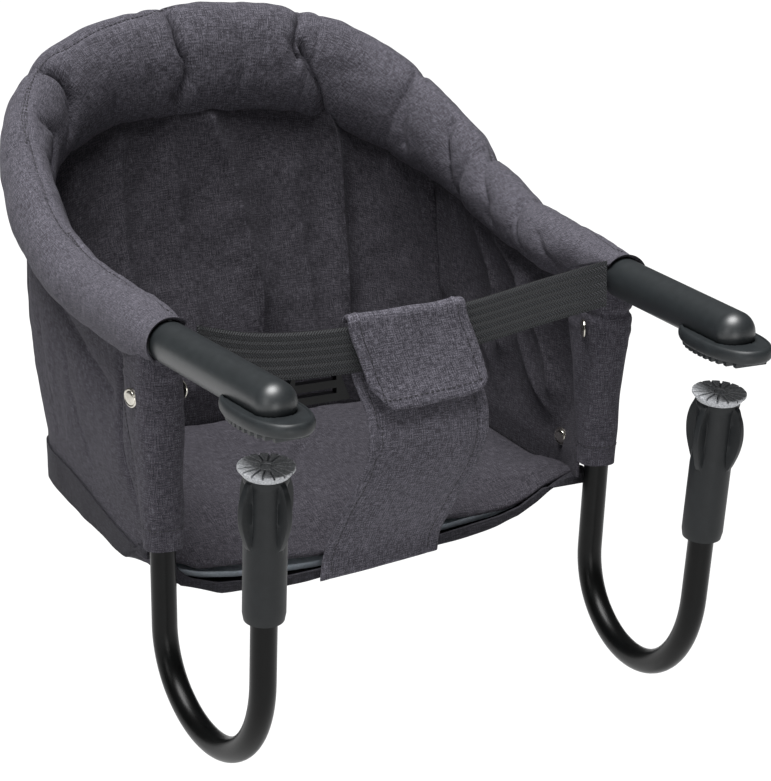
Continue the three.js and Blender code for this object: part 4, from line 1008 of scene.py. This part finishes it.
def wall_panel(name, span, columns, rows, folds, wave, seed, cloth):
    """One wall panel over a span of the rim, with its folds and finer waves."""
    start, end = span
    share, drop = np.meshgrid(np.linspace(0, 1, columns), np.linspace(0, 1, rows), indexing="ij")
    share, drop = share.ravel(), drop.ravel()
    margin = np.minimum(share, 1 - share) * (end - start) / held_share
    low = start - wall_lean(drop) * (start < 0.1)
    high = end + wall_lean(drop) * (end > 0.9)
    points = wall_point(low + (high - low) * share, drop)
    lift = creased(points, wall_point, folds)
    calm = np.sin(math.pi * np.clip(drop, 0.02, 0.98)) ** 0.6
    lift += wave * wrinkles(points * [1, 1, 0.3], wall_wave_sizes[0], seed) * calm
    lift += 0.35 * wave * wrinkles(points, wall_wave_sizes[1], seed + 5) * calm
    lift *= smooth_step(margin) * (1 - smooth_step((drop - fade_start_share) / fade_length_share))
    grid = points.reshape(columns, rows, 3)
    uv, size = sheet_uv(grid)
    return make_shell(name, grid, uv, wall_thickness, cloth, lift.reshape(columns, rows)), size


wall_wave_sizes = (22 * mm, 12 * mm)
# Each fold: depth and width in mm, then marks of share along the rim and of drop.
back_folds = (
    (15, 2.4, ((0.602, 0.02), (0.606, 0.1), (0.601, 0.3), (0.592, 0.6), (0.588, 0.85))),
    (16, 5, ((0.506, 0.05), (0.515, 0.24), (0.519, 0.44), (0.522, 0.6), (0.521, 0.8))),
    (5, 5, ((0.444, 0.1), (0.439, 0.32), (0.436, 0.7))),
    (5, 5, ((0.482, 0.05), (0.48, 0.28), (0.48, 0.7))),
    (6, 5, ((0.655, 0.1), (0.649, 0.32), (0.642, 0.7))),
    (5, 4, ((0.56, 0.25), (0.562, 0.5), (0.56, 0.8))),
    (4, 5, ((0.40, 0.1), (0.40, 0.6))),
    (5, 5, ((0.345, 0.1), (0.35, 0.6))),
    (4, 6, ((0.686, 0.05), (0.688, 0.4), (0.686, 0.7))),
)
right_folds = (
    (4, 5, ((0.715, 0.1), (0.708, 0.26), (0.711, 0.5))),
    (5, 5, ((0.731, 0.02), (0.729, 0.28), (0.73, 0.52))),
    (8, 4, ((0.793, 0.02), (0.815, 0.12), (0.85, 0.2))),
    (8, 4, ((0.76, 0.02), (0.785, 0.25), (0.80, 0.55))),
    (9, 5, ((0.826, 0.42), (0.85, 0.6), (0.876, 0.72))),
    (7, 4, ((0.84, 0.2), (0.862, 0.4), (0.88, 0.6))),
    (5, 4, ((0.75, 0.5), (0.78, 0.65), (0.80, 0.8))),
)
left_folds = (
    (5, 1.4, ((0.098, 0.12), (0.095, 0.5), (0.076, 0.8), (0.068, 1.0))),
    (3, 6, ((0.204, 0.3), (0.19, 0.5), (0.156, 0.88))),
    (2.5, 7, ((0.26, 0.3), (0.25, 0.5), (0.241, 0.8))),
    (6, 6, ((0.262, 0.08), (0.22, 0.13), (0.17, 0.2), (0.12, 0.3))),
)
# The back, the right wall and the floor take a still darker copy of the cloth: painted shade for the
# inside of the tub.
inner_painted_shade_cloth = melange("melange_inner_painted_shade", "#18171b", "#2c2a30", "#49474d")
left_span = (side_front_share, side_rear_share)
back_span = (side_rear_share, 1 - side_rear_share)
right_span = (1 - side_rear_share, 1 - side_front_share)
wall_parts = (
    ("back_wall", "back_panel", back_span, 260, 64, back_folds, 3 * mm, 11, inner_painted_shade_cloth),
    ("side_wall_left", "side_panel_left", left_span, 110, 60, left_folds, 1.6 * mm, 23, wall_painted_shade_cloth),
    ("side_wall_right", "side_panel_right", right_span, 110, 60, right_folds, 1.8 * mm, 31, inner_painted_shade_cloth),
)
for name, node_name, *values in wall_parts:
    panel, size = wall_panel(name, *values)
    belongs(panel, "seat_frame", "melange_cloth", node_name)

# Base pocket
# The cloth tray under the board: sewn to the walls, open and slack along its front edge.
tray_gap = 0.6 * mm
tray_top = wall_foot + arm_axis - tray_gap
tray_floor = -147 * mm
tray_sag = 17 * mm
sag_length = 190 * mm
sag_half_width = 158 * mm
tray_front = 166 * mm
tray_share = 0.085
tray_back = 262 * mm
tray_bulge = 2.6 * mm
tray_droop = 12 * mm
droop_length = 150 * mm
tray_turn = 3 * mm
tray_thickness = 2 * mm
# The turn from the tray's side to its underside: shares of the outline and heights in mm.
tray_round = ((0.998, 1.4), (0.992, 0.5), (0.98, 0))
tray_wave = 1.4 * mm
tray_wave_size = 24 * mm
front_cloth = 7 * mm
front_length = 45 * mm
front_corner = 128 * mm
front_corner_length = 26 * mm
front_edge = (
    (-157, -128), (-150, -141), (-138, -156), (-111, -165), (-66, -169), (-41, -168), (-13, -167),
    (16, -165), (42, -160), (67, -157), (90, -154), (105, -150), (120, -142), (128, -136),
    (140, -130), (157, -124),
)


def tray_outline(inset, count=150, front_count=90):
    """The base's outline as seen from above, from the left front corner round the back."""
    share = np.linspace(tray_share, 1 - tray_share, count)
    step = 1e-4
    place = smooth_path(base_line, share)
    along = smooth_path(base_line, share + step) - smooth_path(base_line, share - step)
    out = np.cross([0, 0, 1.0], along)
    out /= np.linalg.norm(out, axis=1)[:, None]
    place = drawn_in(place + out * (tray_bulge - inset))[:, :2]
    for sign, end in ((-1, 0), (1, -1)):
        lead = np.linspace(place[end], [place[end][0], tray_front + inset], 12)[1:]
        place = np.vstack([lead[::-1], place]) if sign < 0 else np.vstack([place, lead])
    front = np.linspace(place[-1], place[0], front_count + 1)[1:-1]
    return np.vstack([place, front]), len(place)


def marked(marks, x):
    """Heights read between marks of x and height in mm."""
    marks = np.array(marks) * mm
    return np.interp(x, marks[:, 0], marks[:, 1])


def front_share(y):
    """One at the base's front edge, falling to nothing towards the back."""
    return 1 - smooth_step((y - tray_front) / droop_length)


def tray_height(x, y):
    """The tray's underside: its measured front edge, running back into a sagging floor."""
    fore = 1 - smooth_step((y - tray_front) / sag_length)
    sag = tray_sag * np.maximum(0, 1 - (x / sag_half_width) ** 2) * (0.3 + 0.7 * fore)
    near = smooth_step((y - tray_front) / front_length)
    return marked(front_edge, x) * (1 - near) + (tray_floor - sag + base_rise(y)) * near


def pocket_points():
    """Rows from the tray's top edge down its side and in under the floor to its middle."""
    outline, count = tray_outline(0)
    x, y = outline[:, 0], outline[:, 1]
    in_front = np.arange(len(x)) >= count
    low = tray_height(x, y)
    side_top = tray_top + base_rise(y) - tray_droop * front_share(y)
    high = np.where(in_front, np.minimum(side_top, low + front_cloth), side_top)
    near_corner = smooth_step((np.abs(x) - front_corner) / front_corner_length) * in_front
    high = high * (1 - near_corner) + side_top * near_corner
    rows = [
        np.stack([x, y, high + (low + tray_turn - high) * drop], -1) for drop in (0, 0.2, 0.4, 0.6, 0.78)
    ]
    for share, fall in tray_round:
        rows.append(np.stack([x * share, tray_back + (y - tray_back) * share, low + fall * mm], -1))
    for share in np.linspace(0.94, 0, 26):
        px, py = x * share, tray_back + (y - tray_back) * share
        rows.append(np.stack([px, py, tray_height(px, py)], -1))
    return np.array(rows)


def box_uv(piece):
    """Thread lengths taken straight from x, y and z, by the way each face looks."""
    mesh = piece.data
    places = np.empty(len(mesh.vertices) * 3)
    mesh.vertices.foreach_get("co", places)
    places = places.reshape(-1, 3)
    corners = np.empty(len(mesh.loops), int)
    mesh.loops.foreach_get("vertex_index", corners)
    facing = np.empty(len(mesh.polygons) * 3)
    mesh.polygons.foreach_get("normal", facing)
    counts = np.empty(len(mesh.polygons), int)
    mesh.polygons.foreach_get("loop_total", counts)
    axis = np.repeat(np.abs(facing.reshape(-1, 3)).argmax(axis=1), counts)
    pairs = np.array(((1, 2), (0, 2), (0, 1)))[axis]
    lengths = np.take_along_axis(places[corners], pairs, axis=1)
    layer = mesh.uv_layers.get("threads") or mesh.uv_layers.new(name="threads")
    layer.data.foreach_set("uv", lengths.ravel())


def make_bowl(name, rows, thickness, finish, lift):
    """A closed bowl: rows of a ring from its top edge to its middle, given a thickness inwards."""
    along = np.gradient(rows, axis=0)
    across = (np.roll(rows, -1, axis=1) - np.roll(rows, 1, axis=1)) / 2
    normal = np.cross(across, along)
    length = np.linalg.norm(normal, axis=2)
    flat = np.maximum(length, 1e-12)[..., None]
    normal = np.where(length[..., None] > 1e-12, normal / flat, [0, 0, -1.0])
    normal[-1] = normal[-2].mean(axis=0)
    outer = rows + normal * lift[..., None]
    inner = outer - normal * thickness
    bowl = make_skin(name, np.concatenate([outer[::-1], inner]), finish, sharp=70)
    box_uv(bowl)
    return bowl


# The tray's cloth is the same weave in darker tones.
tray_cloth = melange("melange_tray", "#131215", "#212025", "#37363c")
pocket_rows = pocket_points()
pocket_lift = tray_wave * wrinkles(pocket_rows.reshape(-1, 3), tray_wave_size, 41)
pocket_lift = pocket_lift.reshape(pocket_rows.shape[:2])
pocket_lift[:2] = 0
pocket_lift[-1] = 0
pocket = make_bowl("base_tray", pocket_rows, tray_thickness, tray_cloth, pocket_lift)
belongs(pocket, "seat_frame", "melange_cloth", "base_pocket")

# Seat board
# A pale plastic plate slid into the base pocket from the front, where it bends down under
# the child's weight and shows its edge.
board_foot = -144 * mm
board_thickness = 4 * mm
board_inset = 9 * mm
board_sink = (
    (-150, 5), (-143, -1), (-138, -6), (-121, -12), (-97, -16), (-66, -18.5), (-41, -19.5), (0, -17),
    (50, -10), (90, -6), (105, -2), (120, 5), (135, 10), (150, 16),
)
bend_length = 80 * mm

# Grey board: rolled polypropylene sheet, smooth and slightly waxy.
grey_board = grained(
    "pale_board_plastic", "#a2acb6", "#bcc5ce", spacing=1.5 * mm, depth=0.03 * mm, Roughness=0.45
)


def stack_rows(outline, profile, foot, thickness, crown, sink):
    """Rows of a flat cushion or plate: each a shrink of the outline and a level from -1 to 1."""
    x, y = outline[:, 0], outline[:, 1]
    rows = []
    for shrink, level in profile:
        px, py = x * shrink, tray_back + (y - tray_back) * shrink
        bend = 1 - smooth_step((py - tray_front) / bend_length)
        height = foot + thickness * (level + 1) / 2 + base_rise(py) + marked(sink, px) * bend
        if level == 1:
            height = height + crown * math.sin(math.pi / 2 * min(1, (1 - shrink) * 1.6))
        rows.append(np.stack([px, py, height], -1))
    return np.array(rows)


board_outline, _ = tray_outline(board_inset)
board_profile = [(share, -1) for share in np.linspace(0, 0.996, 20)] + [(1, -0.8), (1, 0.8)]
board_profile += [(share, 1) for share in np.linspace(0.996, 0, 20)]
board_rows = stack_rows(board_outline, board_profile, board_foot, board_thickness, 0, board_sink)
board = make_skin("floor_board", board_rows, grey_board)
belongs(board, "seat_frame", "grey_board", "seat_board")

# Seat pad
# The tub's floor: foam between two layers of melange cloth, lying on the board and bound
# along its front edge, which bends down with the board.
pad_foot = -139.6 * mm
pad_edge = 5 * mm
pad_crown = 8 * mm
pad_inset = 4 * mm
pad_top_rows = 44
pad_waves = ((2.4 * mm, 26 * mm, 53), (1 * mm, 10 * mm, 59))
pad_sink = (
    (-150, 0), (-135, -3), (-124, -9), (-97, -11), (-66, -13), (-38, -15), (0, -12), (49, -5),
    (75, -7), (97, -6), (112, -2), (125, 5), (135, 8), (150, 12),
)
floor_fold = ((-60, 190, -135), (-20, 250, -127), (10, 300, -124))
fold_depth = 4.5 * mm
fold_width = 6 * mm

pad_outline, _ = tray_outline(pad_inset)
pad_profile = [(share, -1) for share in (0, 0.3, 0.5, 0.65, 0.78, 0.88, 0.95)]
pad_profile += [(0.99, -0.7), (1, -0.2), (1, 0.4), (0.988, 0.85)]
top_row = len(pad_profile)
pad_profile += [(share, 1) for share in np.linspace(0.97, 0, pad_top_rows)]
floor_rows = stack_rows(pad_outline, pad_profile, pad_foot, pad_edge, pad_crown, pad_sink)
flat_rows = floor_rows[top_row:].reshape(-1, 3)
ripple = sum(depth * wrinkles(flat_rows, size, seed) for depth, size, seed in pad_waves)
fold = line_distance(flat_rows, np.array(floor_fold) * mm)
ripple -= fold_depth * np.exp(-(fold / fold_width) ** 2)
floor_rows[top_row:, :, 2] += ripple.reshape(pad_top_rows, -1)
floor_rows[-1] = floor_rows[-1].mean(axis=0)
floor_pad = make_skin("floor_pad", floor_rows, inner_painted_shade_cloth, sharp=70)
box_uv(floor_pad)
belongs(floor_pad, "seat_frame", "melange_cloth", "seat_pad")

# Leg sleeves
# Cloth channels that hang from the rim round the rear legs and join the side walls behind.
# They are hemmed at the foot and closed with snap fasteners.
sleeve_head = 1 * mm
sleeve_foot = {"left": -137 * mm, "right": -130 * mm}
sleeve_wall = 1.8 * mm
sleeve_half_width = 14.6 * mm
sleeve_front = 13.2 * mm
sleeve_rear = 39 * mm
width_taper = 2.6 * mm
front_taper = 1.4 * mm
rear_taper = 27 * mm
taper_start = -23 * mm
sleeve_slim = {"left": 0, "right": 1 * mm}
slim_start = 40 * mm
slim_length = 40 * mm
sleeve_power = 0.8
sleeve_wave = 1.4 * mm
sleeve_wave_size = 14 * mm
calm_length = 14 * mm
pucker_depth = 1.6 * mm
pucker_size = 12 * mm
pucker_height = -16 * mm
pucker_spread = 16 * mm
sleeve_seam = -10 * mm
sleeve_seam_depth = 1.3 * mm
sleeve_seam_width = 1.6 * mm


def sleeve_section(side, height):
    """Middle, half width, front and rear reach of a leg sleeve at a height over the arm axis."""
    hook = hook_frame(side)
    up, joint = hook[:3, 2], hook[:3, 3] - [0, 0, arm_axis]
    drop = max(0, (height - taper_start) / (sleeve_foot["left"] - taper_start))
    middle = joint + up * (height - joint[2]) / up[2]
    half_width = sleeve_half_width - width_taper * drop
    front = sleeve_front - front_taper * drop
    rear = sleeve_rear - rear_taper * smooth_step(drop * 1.05)
    return middle, half_width, front, rear


def sleeve_points(label, side, rows=80, columns=72):
    """Rings of a leg sleeve from its head down to its hem."""
    turn = side * np.linspace(0, 2 * math.pi, columns + 1)
    points = []
    for height in np.linspace(sleeve_head, sleeve_foot[label], rows):
        middle, half_width, front, rear = sleeve_section(side, height)
        slim = sleeve_slim[label] * smooth_step((-height - slim_start) / slim_length)
        reach = np.where(np.sin(turn) > 0, rear, front)
        across = np.sign(np.cos(turn)) * np.abs(np.cos(turn)) ** sleeve_power
        back = np.sign(np.sin(turn)) * np.abs(np.sin(turn)) ** sleeve_power
        x = middle[0] - side * slim + (half_width - slim) * across
        y = middle[1] + reach * back
        points.append(np.stack([x, y, np.full(columns + 1, height + arm_axis)], -1))
    return np.array(points)


def make_hose(name, points, thickness, finish, lift):
    """A closed sleeve: rings of points given a thickness inwards, open at both ends."""
    ring = points[:, :-1]
    along = np.gradient(ring, axis=0)
    across = (np.roll(ring, -1, axis=1) - np.roll(ring, 1, axis=1)) / 2
    normal = np.cross(along, across)
    normal /= np.linalg.norm(normal, axis=2)[..., None]
    middle = ring.mean(axis=1)[:, None]
    facing = np.sign(np.sum(normal * (ring - middle), axis=2).mean())
    outer = ring + normal * facing * lift[..., None]
    inner = outer - normal * facing * thickness
    both = np.concatenate([outer, inner[::-1]])
    uv, size = sheet_uv(points)
    uv = np.concatenate([uv, uv[::-1], uv[:1]])
    return make_skin(name, both, finish, uv, wrap_rows=True, sharp=70), size


for label, side in sides.items():
    rings = sleeve_points(label, side)
    flat = rings[:, :-1].reshape(-1, 3)
    down = -flat[:, 2]
    lift = sleeve_wave * wrinkles(flat * [1, 1, 0.45], sleeve_wave_size, 61 + side)
    lift *= smooth_step(down / calm_length)
    near_top = np.exp(-((down + pucker_height) / pucker_spread) ** 2)
    lift += pucker_depth * wrinkles(flat * [0.35, 0.35, 1.8], pucker_size, 67 + side) * near_top
    lift -= sleeve_seam_depth * np.exp(-((down + sleeve_seam) / sleeve_seam_width) ** 2)
    lift = lift.reshape(rings.shape[0], -1)
    sleeve, size = make_hose(f"leg_channel_{label}", rings, sleeve_wall, wall_painted_shade_cloth, lift)
    belongs(sleeve, "seat_frame", "melange_cloth", f"leg_sleeve_{label}")

# Snap fasteners
# Nickel-plated brass caps with a rolled rim, pressed through the cloth of the leg sleeves and
# of the side walls beside them.
snap_radius = 6.2 * mm
snap_height = 2.2 * mm
snap_sunk = 0.3 * mm
# The cap's rolled rim: inset from its edge and height, in mm. Its dome starts inside that.
snap_rim = ((0.3, 0), (0, 0.4), (0.2, 1.1), (0.9, 1.5), (1.5, 1.25))
dome_inset = 1.7 * mm
dome_foot = 1.2 * mm
cap_facets = 40
snap_yaws = {"snap_outer": 16, "snap_inner": -20, "snap_lower": 12}
snap_shifts = {"snap_outer": 0, "snap_inner": 0, "snap_lower": 4.4 * mm}
snap_metal = grained(
    "nickel_plated_snap", "#b0aca2", "#dedbd2", spacing=2.5 * mm, depth=0.03 * mm,
    Metallic=1, Roughness=0.22,
)


def snap_profile():
    """Radius and height of a cap: flat under side, rolled rim and low dome."""
    rolled = [(snap_radius - inset * mm, height * mm) for inset, height in snap_rim]
    reach, rise = snap_radius - dome_inset, snap_height - dome_foot
    dome = [(reach * math.sin(turn), dome_foot + rise * math.cos(turn))
            for turn in np.linspace(math.pi / 2, 0, 8)]
    return [(0, 0)] + rolled + dome


for name, degrees in snap_yaws.items():
    yaw = math.radians(degrees)
    for label, side in sides.items():
        low, high = (np.array(corner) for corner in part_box(f"{name}_{label}"))
        facing = side * (1 if name == "snap_outer" else -1)
        seat = (low + high) / 2
        seat[0] = low[0] if facing > 0 else high[0]
        out = np.array([facing * math.cos(yaw), -math.sin(yaw), 0])
        over = np.array([-out[1], out[0], 0])
        matrix = transform(over, np.cross(out, over), out, seat + out * (snap_shifts[name] - snap_sunk))
        rings = move(turned(snap_profile(), cap_facets), matrix)
        cap = make_skin(f"{name}_cap_{label}", rings, snap_metal)
        belongs(cap, "seat_frame", "snap_steel", f"{name}_{label}")

# Waist strap
# Thirty millimetre polypropylene webbing in a coarse herringbone weave, sewn into both rim
# mouths. It sags a little and passes under the crotch flap.
strap_width = 30 * mm
strap_thickness = 1.8 * mm
strap_line = np.array((
    (-140.3, 119.5, -5), (-131, 125.5, -9), (-100, 133, -18.5), (-60, 137, -24), (0, 138.2, -24.5),
    (55, 137, -19), (100, 133, -10.5), (131, 125.5, -3.5), (140.3, 119.5, 0),
)) * mm + [0, 0, arm_axis]
chevron = 2.6 * mm
pick_width = 0.95 * mm

# Webbing: matt black polypropylene, with a painted highlight on each raised pick.
webbing, tree, shader = new_finish("black_webbing", Roughness=0.62, Specular_IOR_Level=0.35)
threads = add_node(tree, "ShaderNodeUVMap", uv_map="threads").outputs[0]
parts = add_node(tree, "ShaderNodeSeparateXYZ", {0: threads}).outputs
slant = math_node(tree, "ADD", math_node(tree, "PINGPONG", parts["Y"], chevron), parts["X"])
pick = math_node(tree, "PINGPONG", slant, pick_width)
rounded = add_node(tree, "ShaderNodeMapRange", {"Value": pick, "From Max": pick_width})
cord = math_node(tree, "PINGPONG", parts["Y"], chevron / 2)
cords = add_node(tree, "ShaderNodeMapRange", {"Value": cord, "From Max": chevron / 7})
height = math_node(tree, "MULTIPLY", rounded.outputs[0], cords.outputs[0])
# The raised picks are coloured lighter than the black ground: a painted highlight.
cover(tree, shader, height, "#030304", "#3a3c3f", height, strength=0.9, depth=0.7 * mm)


def strap_points(columns=180, rows=14):
    """The strap's middle face, from the left mouth to the right one."""
    share, down = np.meshgrid(np.linspace(0, 1, columns), np.linspace(0.5, -0.5, rows), indexing="ij")
    points = smooth_path(strap_line, share.ravel()) + np.outer(down.ravel(), [0, 0, strap_width])
    return points.reshape(columns, rows, 3)


band = strap_points()
band_uv, band_size = sheet_uv(band)
strap = make_shell("waist_webbing", band, band_uv, strap_thickness, webbing)
belongs(strap, "seat_frame", "black_webbing", "waist_strap")

# Buckle and its web
# A gloss black moulded plate with two slots, hung behind the strap on a short doubled web.
buckle_plastic = grained(
    "gloss_black_acetal", "#050606", "#0b0c0d", spacing=3 * mm, depth=0.02 * mm,
    Roughness=0.3, Specular_IOR_Level=0.2,
)
repaint(buckle_plastic, "strap_buckle")
web_left, web_right = -67.5 * mm, -41.5 * mm
web_top, web_bottom = 4 * mm, -17.6 * mm
web_back = 140.5 * mm
across, down = np.meshgrid(
    np.linspace(web_left, web_right, 12), np.linspace(web_top, web_bottom, 10), indexing="ij"
)
web_grid = np.stack([across, np.full(across.shape, web_back), down], -1)
web_uv, web_size = sheet_uv(web_grid)
web = make_shell("buckle_webbing", web_grid, web_uv, strap_thickness, webbing)
belongs(web, "seat_frame", "black_webbing", "buckle_web")

# Crotch strip and flap
# A padded strip of the same cloth rises from the base's front edge to the strap. Its flap
# folds over the strap and closes on it, with topstitched edges.
strip_line = np.array((
    (0, 164.1, -181), (2, 163.4, -166), (8, 149, -136), (15, 133, -106), (17.5, 127, -84), (17, 130, -66),
    (14, 136.5, -52), (11, 141.6, -42), (9, 142.8, -30), (8, 142.8, -11),
)) * mm + [0, 0, arm_axis]
flap_line = np.array((
    (6, 142.8, -8.2), (6, 141.6, -4.8), (6, 138.3, -3), (6, 134.9, -4.8), (7, 133.6, -13),
    (11, 131.6, -26), (16, 127.5, -45), (20, 121.5, -62),
)) * mm + [0, 0, arm_axis]
strip_thickness = 3 * mm
strip_half_width = 42 * mm
strip_taper = 5 * mm
strip_tilt = 3.5 * mm
flap_half_width = 40.5 * mm
flap_tilt = 2.5 * mm
flap_rounding = 9 * mm
stitch_inset_share = 0.17
stitch_groove = 0.7 * mm
sheet_wave = 0.9 * mm
sheet_wave_size = 18 * mm
sheet_crown = 1.2 * mm


def strip_surface(share, across):
    """A point of the strip: share up its line, and across from -1 at its left edge to 1."""
    share, across = np.atleast_1d(share), np.atleast_1d(across)
    points = smooth_path(strip_line, share)
    points[:, 0] += across * (strip_half_width - strip_taper * smooth_step((share - 0.6) / 0.4))
    points[:, 2] += across * strip_tilt * (1 - smooth_step(share / 0.3))
    return points


def flap_surface(share, across):
    """A point of the flap: share over the strap and down its front, across as on the strip."""
    share, across = np.atleast_1d(share), np.atleast_1d(across)
    points = smooth_path(flap_line, share)
    rounding = flap_rounding * smooth_step((share - 0.84) / 0.16) * np.abs(across) ** 6
    points[:, 0] += across * (flap_half_width - rounding / 2)
    points[:, 2] += rounding + flap_tilt * across * smooth_step(share)
    return points


def stitched_sheet(name, surface, finish, columns, rows, seed):
    """A hemmed sheet whose edges are pressed flat outside its topstitch line."""
    across, share = np.meshgrid(np.linspace(-1, 1, columns), np.linspace(0, 1, rows), indexing="ij")
    points = surface(share.ravel(), across.ravel()).reshape(columns, rows, 3)
    uv, size = sheet_uv(points)
    line = 1 - stitch_inset_share
    lift = -stitch_groove * np.exp(-((np.abs(across) - line) / 0.03) ** 2)
    lift += sheet_wave * wrinkles(points.reshape(-1, 3), sheet_wave_size, seed).reshape(across.shape)
    lift += sheet_crown * (1 - (across / line) ** 2) * (np.abs(across) < line)
    lift *= np.sin(math.pi * np.clip(share, 0.03, 0.97)) ** 0.4
    return make_shell(name, points, uv, strip_thickness, finish, lift), size


# The flap's cloth shows its slubs more, as it is stretched flat over firm padding.
flap_cloth = melange("melange_flap", "#25242a", "#424047", "#6a6871", contrast=0.18)
strip, size = stitched_sheet("crotch_strap", strip_surface, melange_cloth, 60, 130, 71)
belongs(strip, "seat_frame", "melange_cloth", "crotch_strip")
flap, size = stitched_sheet("strap_flap", flap_surface, flap_cloth, 60, 80, 83)
belongs(flap, "flap", "melange_cloth", "crotch_flap")

# Seams and topstitching
# Dark polyester thread. The rim's crest seam and the edges of the strip, flap, sleeves and
# walls carry single rows of stitches, about three millimetres long.
stitch_pitch = 3.6 * mm
stitch_length = 2.7 * mm
stitch_width = 0.7 * mm
stitch_lift = 0.15 * mm
stitch_reach = 2 * wall_thickness
wall_stitch_share = 0.009
hem_row = -9

# Thread: twisted polyester, almost black, with a faint sheen.
thread_finish = grained(
    "dark_thread", "#141316", "#232227", spacing=0.4 * mm, depth=0.02 * mm, Roughness=0.6
)


def stitch_tree():
    """A node tree that lays rounded stitches along an edge line."""
    group, given = new_tree("stitch_row", {
        "Pitch": ("Float", None), "Size": ("Vector", None), "Finish": ("Material", None),
    })
    path = add_node(group, "GeometryNodeMeshToCurve", {"Mesh": given["Geometry"]})
    spacing = {"Curve": path.outputs[0], "Length": given["Pitch"]}
    even = add_node(group, "GeometryNodeResampleCurve", spacing, mode="LENGTH")
    along = add_node(group, "GeometryNodeInputTangent")
    turn = add_node(group, "FunctionNodeAlignRotationToVector", {"Vector": along.outputs[0]}, axis="X")
    drop = add_node(group, "GeometryNodeMeshUVSphere", {"Segments": 6, "Rings": 4, "Radius": 0.5})
    row = add_node(group, "GeometryNodeInstanceOnPoints", {
        "Points": even.outputs[0],
        "Instance": drop.outputs[0],
        "Rotation": turn.outputs[0],
        "Scale": given["Size"],
    })
    give_out(group, row, given["Finish"])
    return group


def laid_on(piece, points, lift):
    """The points moved to the nearest place on a piece's surface, and a little off it."""
    mesh = piece.data
    surface = BVHTree.FromPolygons([v.co for v in mesh.vertices], [p.vertices for p in mesh.polygons])
    found = [surface.find_nearest(Vector(point)) for point in points.tolist()]
    return np.array([place + normal * lift for place, normal, _, _ in found])


def stitch_row(name, piece, body, lines, side=(0, 0, 0)):
    """Rows of stitches on a piece, along lines of points near its surface, on the given side."""
    points, edges = [], []
    for line in lines:
        first = len(points)
        points += laid_on(piece, line + np.array(side) * stitch_reach, stitch_lift).tolist()
        edges += [(first + step, first + step + 1) for step in range(len(line) - 1)]
    mesh = bpy.data.meshes.new(name)
    mesh.from_pydata(points, edges, [])
    line_object = bpy.data.objects.new(name + "_line", mesh)
    bpy.context.scene.collection.objects.link(line_object)
    grown_mesh = grown(stitches, line_object, {
        "Pitch": stitch_pitch,
        "Size": (stitch_length, stitch_width, stitch_width),
        "Finish": thread_finish,
    })
    bpy.data.objects.remove(line_object)
    row = bpy.data.objects.new(name, grown_mesh)
    bpy.context.scene.collection.objects.link(row)
    belongs(row, body, "melange_cloth")


def edge_rows(surface, inset, low, high, steps=60):
    """Two lines along a sheet's long edges and one across its far end."""
    share = np.linspace(low, high, steps)
    lines = [surface(share, np.full(steps, sign * (1 - inset))) for sign in (-1, 1)]
    return lines + [surface(np.full(steps, high), np.linspace(-1 + inset, 1 - inset, steps))]


stitches = stitch_tree()
left_seam = [mark for mark in rim_seam if mark[0] < 0.49]
right_seam = [mark for mark in rim_seam if mark[0] > 0.48]
seam_lines = [fine_line(rim_surface, marks, 200) for marks in (left_seam, right_seam)]
strip_lines = edge_rows(strip_surface, stitch_inset_share, 0.05, 0.86)[:2]
flap_lines = edge_rows(flap_surface, stitch_inset_share, 0.45, 0.93)
stitch_row("rim_stitches", rim, "seat_frame", seam_lines)
stitch_row("strip_stitches", strip, "seat_frame", strip_lines, (0, -1, 0))
stitch_row("flap_stitches", flap, "flap", flap_lines, (0, -1, 0))
drop = np.linspace(0.12, 0.97, 60)
for label, side in sides.items():
    channel, wall = (bpy.data.objects[f"{name}_{label}"] for name in ("leg_channel", "side_wall"))
    hem = sleeve_points(label, side)[hem_row]
    stitch_row(f"sleeve_stitches_{label}", channel, "seat_frame", [hem])
    front = side_front_share if side < 0 else 1 - side_front_share
    edge = wall_point(front + side * (wall_lean(drop) - wall_stitch_share), drop)
    stitch_row(f"wall_stitches_{label}", wall, "seat_frame", [edge], (-1, 0, 0))

# Studio
# A plain pale floor and broad soft lights, so the part stands alone on white.
floor_level = -0.95
floor_reach = 12
floor_mesh = bpy.data.meshes.new("studio_floor")
floor_corners = [
    (x * floor_reach, y * floor_reach, floor_level) for x, y in ((-1, -1), (1, -1), (1, 1), (-1, 1))
]
floor_mesh.from_pydata(floor_corners, [], [(0, 1, 2, 3)])
studio_floor = bpy.data.objects.new("studio_floor", floor_mesh)
bpy.context.scene.collection.objects.link(studio_floor)
floor_finish, tree, shader = new_finish("white_floor", Roughness=0.9)
shader.inputs["Base Color"].default_value = linear("#c2c2c2")
floor_mesh.materials.append(floor_finish)

world = bpy.data.worlds.new("studio")
world.use_nodes = True
backdrop = world.node_tree.nodes["Background"]
backdrop.inputs["Color"].default_value = linear("#ffffff")
backdrop.inputs["Strength"].default_value = 0.1
bpy.context.scene.world = world
look_at = Vector((0, 0.25, 0))
lights = (
    ("overhead", "SUN", (-0.35, 0.0, 2.0), math.radians(38), 6.3),
    ("left_panel", "AREA", (-2.3, -1.1, 0.7), 1.0, 9.0),
    ("front_panel", "AREA", (-0.7, -2.3, -0.3), 0.9, 9.5),
)
for name, kind, place, size, power in lights:
    light = bpy.data.lights.new(name, kind)
    if kind == "SUN":
        light.angle = size
    else:
        light.size = size
    light.energy = power
    lamp = bpy.data.objects.new(name, light)
    bpy.context.scene.collection.objects.link(lamp)
    lamp.location = place
    lamp.rotation_euler = (look_at - Vector(place)).to_track_quat("-Z", "Y").to_euler()
